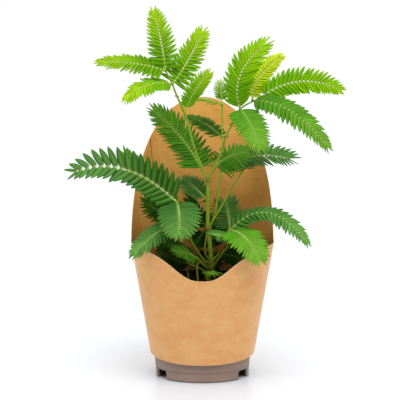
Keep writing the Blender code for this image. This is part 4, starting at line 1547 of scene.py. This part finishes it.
@dataclass
class Pot:
    """The nursery pot: foot with notches, sloping wall, wide lip and drained floor.

    Attributes:
        foot: The foot's radius, and its radius where the wall starts.
        foot_top: The height where the foot ends.
        body: The wall's radius there.
        lip: The lip's lower and outer radius.
        lip_bottom: The height where the lip starts.
        height: The pot's height.
        wall: The wall's thickness.
        channel: The height of the floor above what the pot stands on.
        pad: The radius of the pad in the middle of the underside.
        sides: The number of points round it.
        notch: The width, depth and height of a notch in the foot.
        notch_angles: Where the notches are, in degrees.
        notch_round: The radius of a notch's upper corners.
        drain: The radius of a drain hole, of the ring of them, and their number.
        drain_depth: The length of the tool that cuts one.
        spare: How far the tool of a notch sticks out of the foot.
        crease: The angle from which an edge stays sharp, in degrees.
    """

    foot: Pair = (42.5, 43.6)
    foot_top: float = 17.0
    body: float = 44.6
    lip: Pair = (54.4, 56.6)
    lip_bottom: float = 78.0
    height: float = 90.0
    wall: float = 1.6
    channel: float = 8.4
    pad: float = 15.0
    sides: int = 144
    notch: Point = (16.0, 6.0, 8.0)
    notch_angles: tuple[float, ...] = (60.0, 180.0, 300.0)
    notch_round: float = 2.4
    drain: tuple[float, float, int] = (4.0, 27.0, 6)
    drain_depth: float = 8.0
    spare: float = 3.0
    crease: float = 32.0

    def profile(self) -> list[Pair]:
        """Draw the section: out along the underside, up the wall and back inside.

        Returns:
            Radius and height of each of its corners.
        """
        foot, foot_top = self.foot
        lip_low, lip = self.lip
        floor = self.channel + self.wall
        return [
            (2.0, 0.0),
            (self.pad - 0.5, 0.0),
            (self.pad, 0.4),
            (self.pad + 1.4, self.channel),
            (foot - self.wall + 0.2, self.channel),
            (foot - self.wall, 0.5),
            (foot - self.wall + 0.4, 0.0),
            (foot - 0.5, 0.0),
            (foot, 0.5),
            (foot + 0.25, self.channel - 0.5),
            (foot + 0.30, self.channel - 0.25),
            (foot + 0.02, self.channel - 0.05),
            (foot + 0.02, self.channel + 0.15),
            (foot + 0.55, self.channel + 0.35),
            (foot_top, self.foot_top),
            (self.body - 0.2, self.foot_top + 0.9),
            (self.body, self.foot_top + 1.4),
            (lip_low, self.lip_bottom - 0.3),
            (lip - 0.5, self.lip_bottom + 0.3),
            (lip - 0.1, self.lip_bottom + 0.8),
            (lip, self.height - 1.0),
            (lip - 0.3, self.height - 0.3),
            (lip - 0.9, self.height),
            (lip - 1.6, self.height),
            (lip - 2.1, self.height - 0.4),
            (lip_low - self.wall, self.lip_bottom),
            (foot_top - self.wall - 0.3, floor + 1.0),
            (foot_top - self.wall - 1.3, floor),
            (self.pad - 0.2, floor),
            (self.pad - 1.3, self.wall),
            (2.0, self.wall),
        ]

    def build(self) -> bpy.types.Object:
        """Build the pot.

        Returns:
            The pot as one object.
        """
        pot = turned("pot_moulded", self.profile(), self.sides)
        for angle in self.notch_angles:
            self._cut(pot, self._notch_tool(math.radians(angle)))
        radius, ring, count = self.drain
        for step in range(count):
            angle = 2.0 * math.pi * (step + 0.5) / count
            place = (ring * math.cos(angle), ring * math.sin(angle), self.channel + 0.5 * self.wall)
            rod = bpy.ops.mesh.primitive_cylinder_add
            tool = fresh(rod, vertices=32, radius=radius, depth=self.drain_depth, location=place)
            self._cut(pot, tool)
        take(pot)
        bpy.ops.object.shade_smooth_by_angle(angle=math.radians(self.crease))
        return pot

    def _notch_tool(self, turn: float) -> bpy.types.Object:
        """Build the tool for one notch: a box with round upper corners.

        Args:
            turn: Where the notch is, as an angle round the pot.

        Returns:
            The tool.
        """
        width, depth, height = self.notch
        tool = fresh(bpy.ops.mesh.primitive_cube_add, size=1.0)
        bpy.ops.transform.resize(value=(width, depth + self.spare, height + 2.0))
        place = (0, -self.foot[0] + (depth - self.spare) / 2.0, height / 2.0 - 1.0)
        bpy.ops.transform.translate(value=place)
        bpy.ops.object.transform_apply(location=True, rotation=True, scale=True)
        edit_points(tool, lambda spot: spot.z > height - 0.1)
        bpy.ops.mesh.select_mode(type="EDGE")
        bpy.ops.object.mode_set(mode="OBJECT")
        for edge in tool.data.edges:
            first, second = (tool.data.vertices[index].co for index in edge.vertices)
            edge.select = abs(first.x - second.x) < 0.1 and min(first.z, second.z) > height - 0.1
        bpy.ops.object.mode_set(mode="EDIT")
        bpy.ops.mesh.bevel(offset=self.notch_round, segments=6)
        bpy.ops.object.mode_set(mode="OBJECT")
        tool.data.transform(Matrix.Rotation(turn, 4, "Z"))
        return tool

    def _cut(self, pot: bpy.types.Object, tool: bpy.types.Object) -> None:
        """Cut a tool out of the pot and remove the tool."""
        apply_modifier(pot, "BOOLEAN", operation="DIFFERENCE", solver="EXACT", object=tool)
        drop(tool)


@dataclass
class Soil:
    """The potting soil: a lumpy surface with loose crumbs on it.

    Attributes:
        draw: The source of its irregularities.
        radius: Its radius at the top.
        top: Its height.
        bottom: Its radius and height at the pot's floor.
        shoulder: How far inwards and down from its upper rim the side ends.
        middle: The radius of the smallest ring, on the surface and at the floor.
        sides: The number of points round it.
        rings: The number of rings on its surface.
        crumbs: The number of loose crumbs.
        crumb_kinds: The number of different crumbs among them.
        calm_edge: How wide the smooth strip along the rim is.
        heap: How far the soil rises towards the back of the rim.
        heap_reach: How far behind the middle that starts, and over what length.
        waves: The height, the number a millimetre and the layer of noise of each size of lump.
        crumb_sizes: The sizes of loose crumbs.
        crumb_dents: How deep their dents are, and the number of dents a millimetre.
        crumb_rise: How far a crumb's middle stands above the surface, as a share of its size.
        crumb_widths: The least and the most of its width, as a share of its size.
        crumb_heights: The same for its height.
        crumb_tones: The same for its tone.
    """

    draw: random.Random
    radius: float = 53.0
    top: float = 84.0
    bottom: Pair = (41.0, 10.5)
    shoulder: Pair = (1.0, 4.0)
    middle: Pair = (0.6, 2.0)
    sides: int = 120
    rings: int = 30
    crumbs: int = 520
    crumb_kinds: int = 4
    calm_edge: float = 4.0
    heap: float = 4.2
    heap_reach: Pair = (12.0, 34.0)
    waves: tuple[Point, ...] = ((1.0, 0.045, 3.0), (0.9, 0.28, 9.0), (0.35, 0.9, 5.0))
    crumb_sizes: tuple[float, ...] = (0.9, 1.2, 1.6, 2.2, 3.0)
    crumb_dents: Pair = (0.9, 3.1)
    crumb_rise: float = 0.15
    crumb_widths: Pair = (0.6, 1.0)
    crumb_heights: Pair = (0.4, 0.7)
    crumb_tones: Pair = (0.0, 1.4)

    def build(self) -> bpy.types.Object:
        """Build the soil with its crumbs.

        Returns:
            The soil as one object.
        """
        low_radius, low = self.bottom
        inwards, down = self.shoulder
        least, least_low = self.middle
        profile = [(least_low, low), (low_radius, low), (self.radius - inwards, self.top - down)]
        for ring in range(self.rings):
            share = ring / self.rings
            profile.append((self.radius * (1.0 - share) + least * share, self.top))
        bed = turned("soil_crumbly", profile, self.sides)
        for vertex in bed.data.vertices:
            if vertex.co.z > self.top - 0.5:
                vertex.co.z += self._lift(vertex.co.x, vertex.co.y)
        take(bed)
        bpy.ops.object.shade_smooth()
        mark(bed.data, tone=0.3)
        chunks = [self._chunk(index) for index in range(self.crumb_kinds)]
        parts = [bed]
        for _ in range(self.crumbs):
            parts.append(self._crumb(self.draw.choice(chunks)))
        drop(*chunks)
        return join(parts, "soil_crumbly")

    def _lift(self, x: float, y: float) -> float:
        """Say how far the lumpy surface stands above its level.

        Args:
            x: The place from left to right.
            y: The place from front to back.

        Returns:
            How far it stands above it there.
        """
        lumps = 1.0
        for height, number, layer in self.waves:
            lumps += height * noise.noise(Vector((x, y, layer)) * number)
        edge = smooth_step((self.radius - math.hypot(x, y)) / self.calm_edge)
        start, length = self.heap_reach
        heap = self.heap * smooth_step((y - start) / length)
        return lumps * edge + heap

    def _chunk(self, index: int) -> bpy.types.Object:
        """Model one crumb, a rough lump a millimetre across.

        Args:
            index: Its number, which makes it differ from the others.

        Returns:
            The crumb.
        """
        chunk = fresh(bpy.ops.mesh.primitive_ico_sphere_add, subdivisions=2, radius=0.5)
        depth, number = self.crumb_dents
        for vertex in chunk.data.vertices:
            vertex.co *= 1.0 + depth * noise.noise(vertex.co * number + Vector((7.0 * index, 0, 0)))
        return chunk

    def _crumb(self, chunk: bpy.types.Object) -> bpy.types.Object:
        """Drop one crumb on the surface.

        Args:
            chunk: The model of the crumb.

        Returns:
            The crumb.
        """
        draw = self.draw
        distance = (self.radius - 3.0) * math.sqrt(draw.random())
        angle = draw.uniform(0.0, 2.0 * math.pi)
        x, y = distance * math.cos(angle), distance * math.sin(angle)
        size = draw.choice(self.crumb_sizes)
        spot = Vector((x, y, self.top + self._lift(x, y) + self.crumb_rise * size))
        turn = Matrix.Rotation(draw.uniform(0.0, 6.0), 4, "Z")
        turn = turn @ Matrix.Rotation(draw.uniform(0.0, 6.0), 4, "X")
        width = size * draw.uniform(*self.crumb_widths)
        height = size * draw.uniform(*self.crumb_heights)
        shape = Matrix.Diagonal((size, width, height, 1.0))
        part = copy_of(chunk, Matrix.Translation(spot) @ turn @ shape)
        mark(part.data, tone=draw.uniform(*self.crumb_tones))
        return part


@dataclass
class Sleeve:
    """The kraft card sleeve: a cone with a scooped front, an arched back and a glued lap.

    Attributes:
        low: The height of the hem at the sides and the radius there.
        slope: How fast the radius grows with height.
        card: The card's thickness.
        hem_dip: How far the hem drops in front and behind.
        scoop: The height of the scoop, its rise, its angle and its power.
        arch: The rise of the back and the two powers of its curve.
        lap: The angles between which the card overlaps itself.
        step: How far the inner layer of the lap lies inside the outer.
        lap_bend: How far past the lap's end the card steps out, and over what angle, in degrees.
        wave: How far it is out of round, the height where that starts, and over what height.
        wave_number: The number of those waves along the radius and up a millimetre.
        columns: The number of faces round it.
        rows: The number of faces up it.
    """

    low: Pair = (22.0, 47.8)
    slope: float = 0.175
    card: float = 0.5
    hem_dip: float = 5.4
    scoop: tuple[float, float, float, float] = (93.4, 30.5, 29.5, 2.8)
    arch: Point = (131.0, 2.1, 1.95)
    lap: Pair = (218.0, 230.0)
    step: float = 0.62
    lap_bend: Pair = (0.4, 1.6)
    wave: Point = (0.25, 95.0, 60.0)
    wave_number: Pair = (1.3, 0.012)
    columns: int = 372
    rows: int = 40

    def top(self, angle: float) -> float:
        """Say how high the upper edge is.

        Args:
            angle: The angle from the front, in degrees.

        Returns:
            Its height there.
        """
        low, rise, width, power = self.scoop
        side = min(angle % 360.0, 360.0 - angle % 360.0)
        near = (min(side, 90.0) / width) ** power
        start = low + rise * near / (1.0 + near)
        if side <= 90.0:
            return start
        lift, inner, outer = self.arch
        share = 1.0 - ((180.0 - side) / 90.0) ** inner
        return start + lift * share ** outer

    def bottom(self, angle: float) -> float:
        """Return the height of the hem at an angle from the front, in degrees."""
        return self.low[0] - self.hem_dip * abs(math.cos(math.radians(angle)))

    def spot(self, angle: float, share: float) -> Vector:
        """Return a point of the card's outer face.

        Args:
            angle: The angle from the front, in degrees, which may go past a full turn.
            share: The share of the way from the hem to the upper edge.

        Returns:
            The point.
        """
        height = self.bottom(angle) + (self.top(angle) - self.bottom(angle)) * share
        radius = self.low[1] + self.slope * (height - self.low[0])
        delay, bend = self.lap_bend
        radius -= self.step * (1.0 - smooth_step((angle - self.lap[1] - delay) / bend))
        turn = math.radians(angle)
        around, up = self.wave_number
        wave = noise.noise(Vector((math.cos(turn) * around, math.sin(turn) * around, height * up)))
        depth, calm, rise = self.wave
        radius += depth * wave * smooth_step((height - calm) / rise)
        return Vector((radius * math.sin(turn), -radius * math.cos(turn), height))

    def build(self) -> bpy.types.Object:
        """Build the sleeve.

        Returns:
            The sleeve as one object.
        """
        grid = bpy.ops.mesh.primitive_grid_add
        card = fresh(grid, x_subdivisions=self.columns, y_subdivisions=self.rows, size=1.0)
        start, end = self.lap
        span = 360.0 + end - start
        for vertex in card.data.vertices:
            vertex.co = self.spot(start + span * (vertex.co.x + 0.5), vertex.co.y + 0.5)
        for _ in range(3):
            card.data.materials.append(None)
        apply_modifier(
            card, "SOLIDIFY", thickness=self.card, offset=-1.0, material_offset=1, material_offset_rim=2
        )
        bpy.ops.object.shade_smooth_by_angle(angle=math.radians(40.0))
        return join([card], "sleeve_card")


# Camera, light and floor


@dataclass
class Studio:
    """A plain pale floor, soft light and the camera of the photograph.

    Attributes:
        camera_place: Where the camera stands, in metres.
        camera_pitch: How far it looks down, in degrees.
        lens: Its focal length, in millimetres.
        sensor: The width of its sensor, in millimetres.
        shift: How far its picture is shifted sideways.
        back: How bright the room is behind the plant.
        front: How bright it is in front of it.
        sides: How much brighter it is at both sides.
        overhead: How much brighter it is overhead.
        floor_size: The length of the floor's sides, in metres.
        floor_colour: The floor's colour.
        sun: The strength of the key light.
        sun_width: The angle that it fills, in degrees.
        sun_from: The way towards it.
    """

    camera_place: Point = (0.0, -1.230, 0.255)
    camera_pitch: float = 4.41
    lens: float = 121.9
    sensor: float = 36.0
    shift: float = -0.006
    back: float = 1.02
    front: float = 0.42
    sides: float = 0.45
    overhead: float = 0.5
    floor_size: float = 400.0
    floor_colour: Colour = (0.68, 0.708, 0.745)
    sun: float = 2.12
    sun_width: float = 45.0
    sun_from: Point = (0.14, -0.8, 1.5)

    def build(self) -> None:
        """Build the stage."""
        self._floor()
        self._world()
        self._sun()
        self._camera()

    def _floor(self) -> None:
        """Lay the floor."""
        floor = fresh(bpy.ops.mesh.primitive_plane_add, size=self.floor_size)
        floor.name = "floor"
        sheet = Sheet("studio_floor")
        sheet.set(Base_Color=self.floor_colour, Roughness=0.35, Specular_IOR_Level=0.2)
        floor.data.materials.append(sheet.material)

    def _world(self) -> None:
        """Light the room evenly, whiter behind the plant than in front of it."""
        world = bpy.data.worlds.new("white_room")
        world.use_nodes = True
        room = NodeTree(world.node_tree)
        way = room.add("ShaderNodeTexCoord", {}, {}, "Generated")
        sideways, ahead, up = room.split(way)
        strength = ahead.band(-0.5, 0.7, self.front, self.back)
        strength = strength + abs(sideways).band(0.5, 1.0, 0.0, self.sides)
        strength = strength + up.band(0.4, 1.0, 0.0, self.overhead)
        background = world.node_tree.nodes["Background"]
        room.feed(background.inputs["Color"], (1.0, 1.0, 1.0))
        room.feed(background.inputs["Strength"], strength)
        bpy.context.scene.world = world
        bpy.context.scene.view_settings.view_transform = "Standard"

    def _sun(self) -> None:
        """Hang one large soft light high in front."""
        light = fresh(bpy.ops.object.light_add, type="SUN", location=(0, 0, 2))
        light.name = "soft_key"
        light.data.energy = self.sun
        light.data.angle = math.radians(self.sun_width)
        light.rotation_euler = (-Vector(self.sun_from)).to_track_quat("-Z", "Y").to_euler()

    def _camera(self) -> None:
        """Set up the camera."""
        camera = fresh(bpy.ops.object.camera_add, location=self.camera_place)
        camera.name = "photo_camera"
        camera.rotation_euler = (math.radians(90.0 - self.camera_pitch), 0.0, 0.0)
        camera.data.lens = self.lens
        camera.data.sensor_width = self.sensor
        camera.data.shift_x = self.shift
        camera.data.clip_end = 50.0
        bpy.context.scene.camera = camera


def main() -> None:
    """Build every piece in order and report it."""
    logging.basicConfig(level=logging.INFO, format="%(name)s %(message)s")
    deselect()
    draw = random.Random(SEED)
    Studio().build()
    finish_piece(Pot().build(), [TAUPE.dress()], ["pot"])
    finish_piece(Soil(draw).build(), [EARTH.dress()], ["soil"])
    kraft = [finish.dress() for finish in (KRAFT_OUTSIDE, KRAFT_INSIDE, KRAFT_EDGE)]
    finish_piece(Sleeve().build(), kraft, ["sleeve"])
    stems = Stems(draw)
    bark = GREEN_STEM.dress()
    finish_piece(stems.build(), [bark], ["stems"])
    for name, stem in SHOOTS.items():
        finish_piece(stems.build_shoot(name, stem), [bark], [name])
    stock = LeafletStock()
    stock.build()
    greens = {leaf: leaf.value.dress() for leaf in Leaf}
    for frond in FRONDS:
        piece = Pinna(frond, stock, draw).build()
        finish_piece(piece, [greens[frond.leaf]], [frond.name])
    drop(*stock.models.values())


if __name__ == "__main__":
    main()
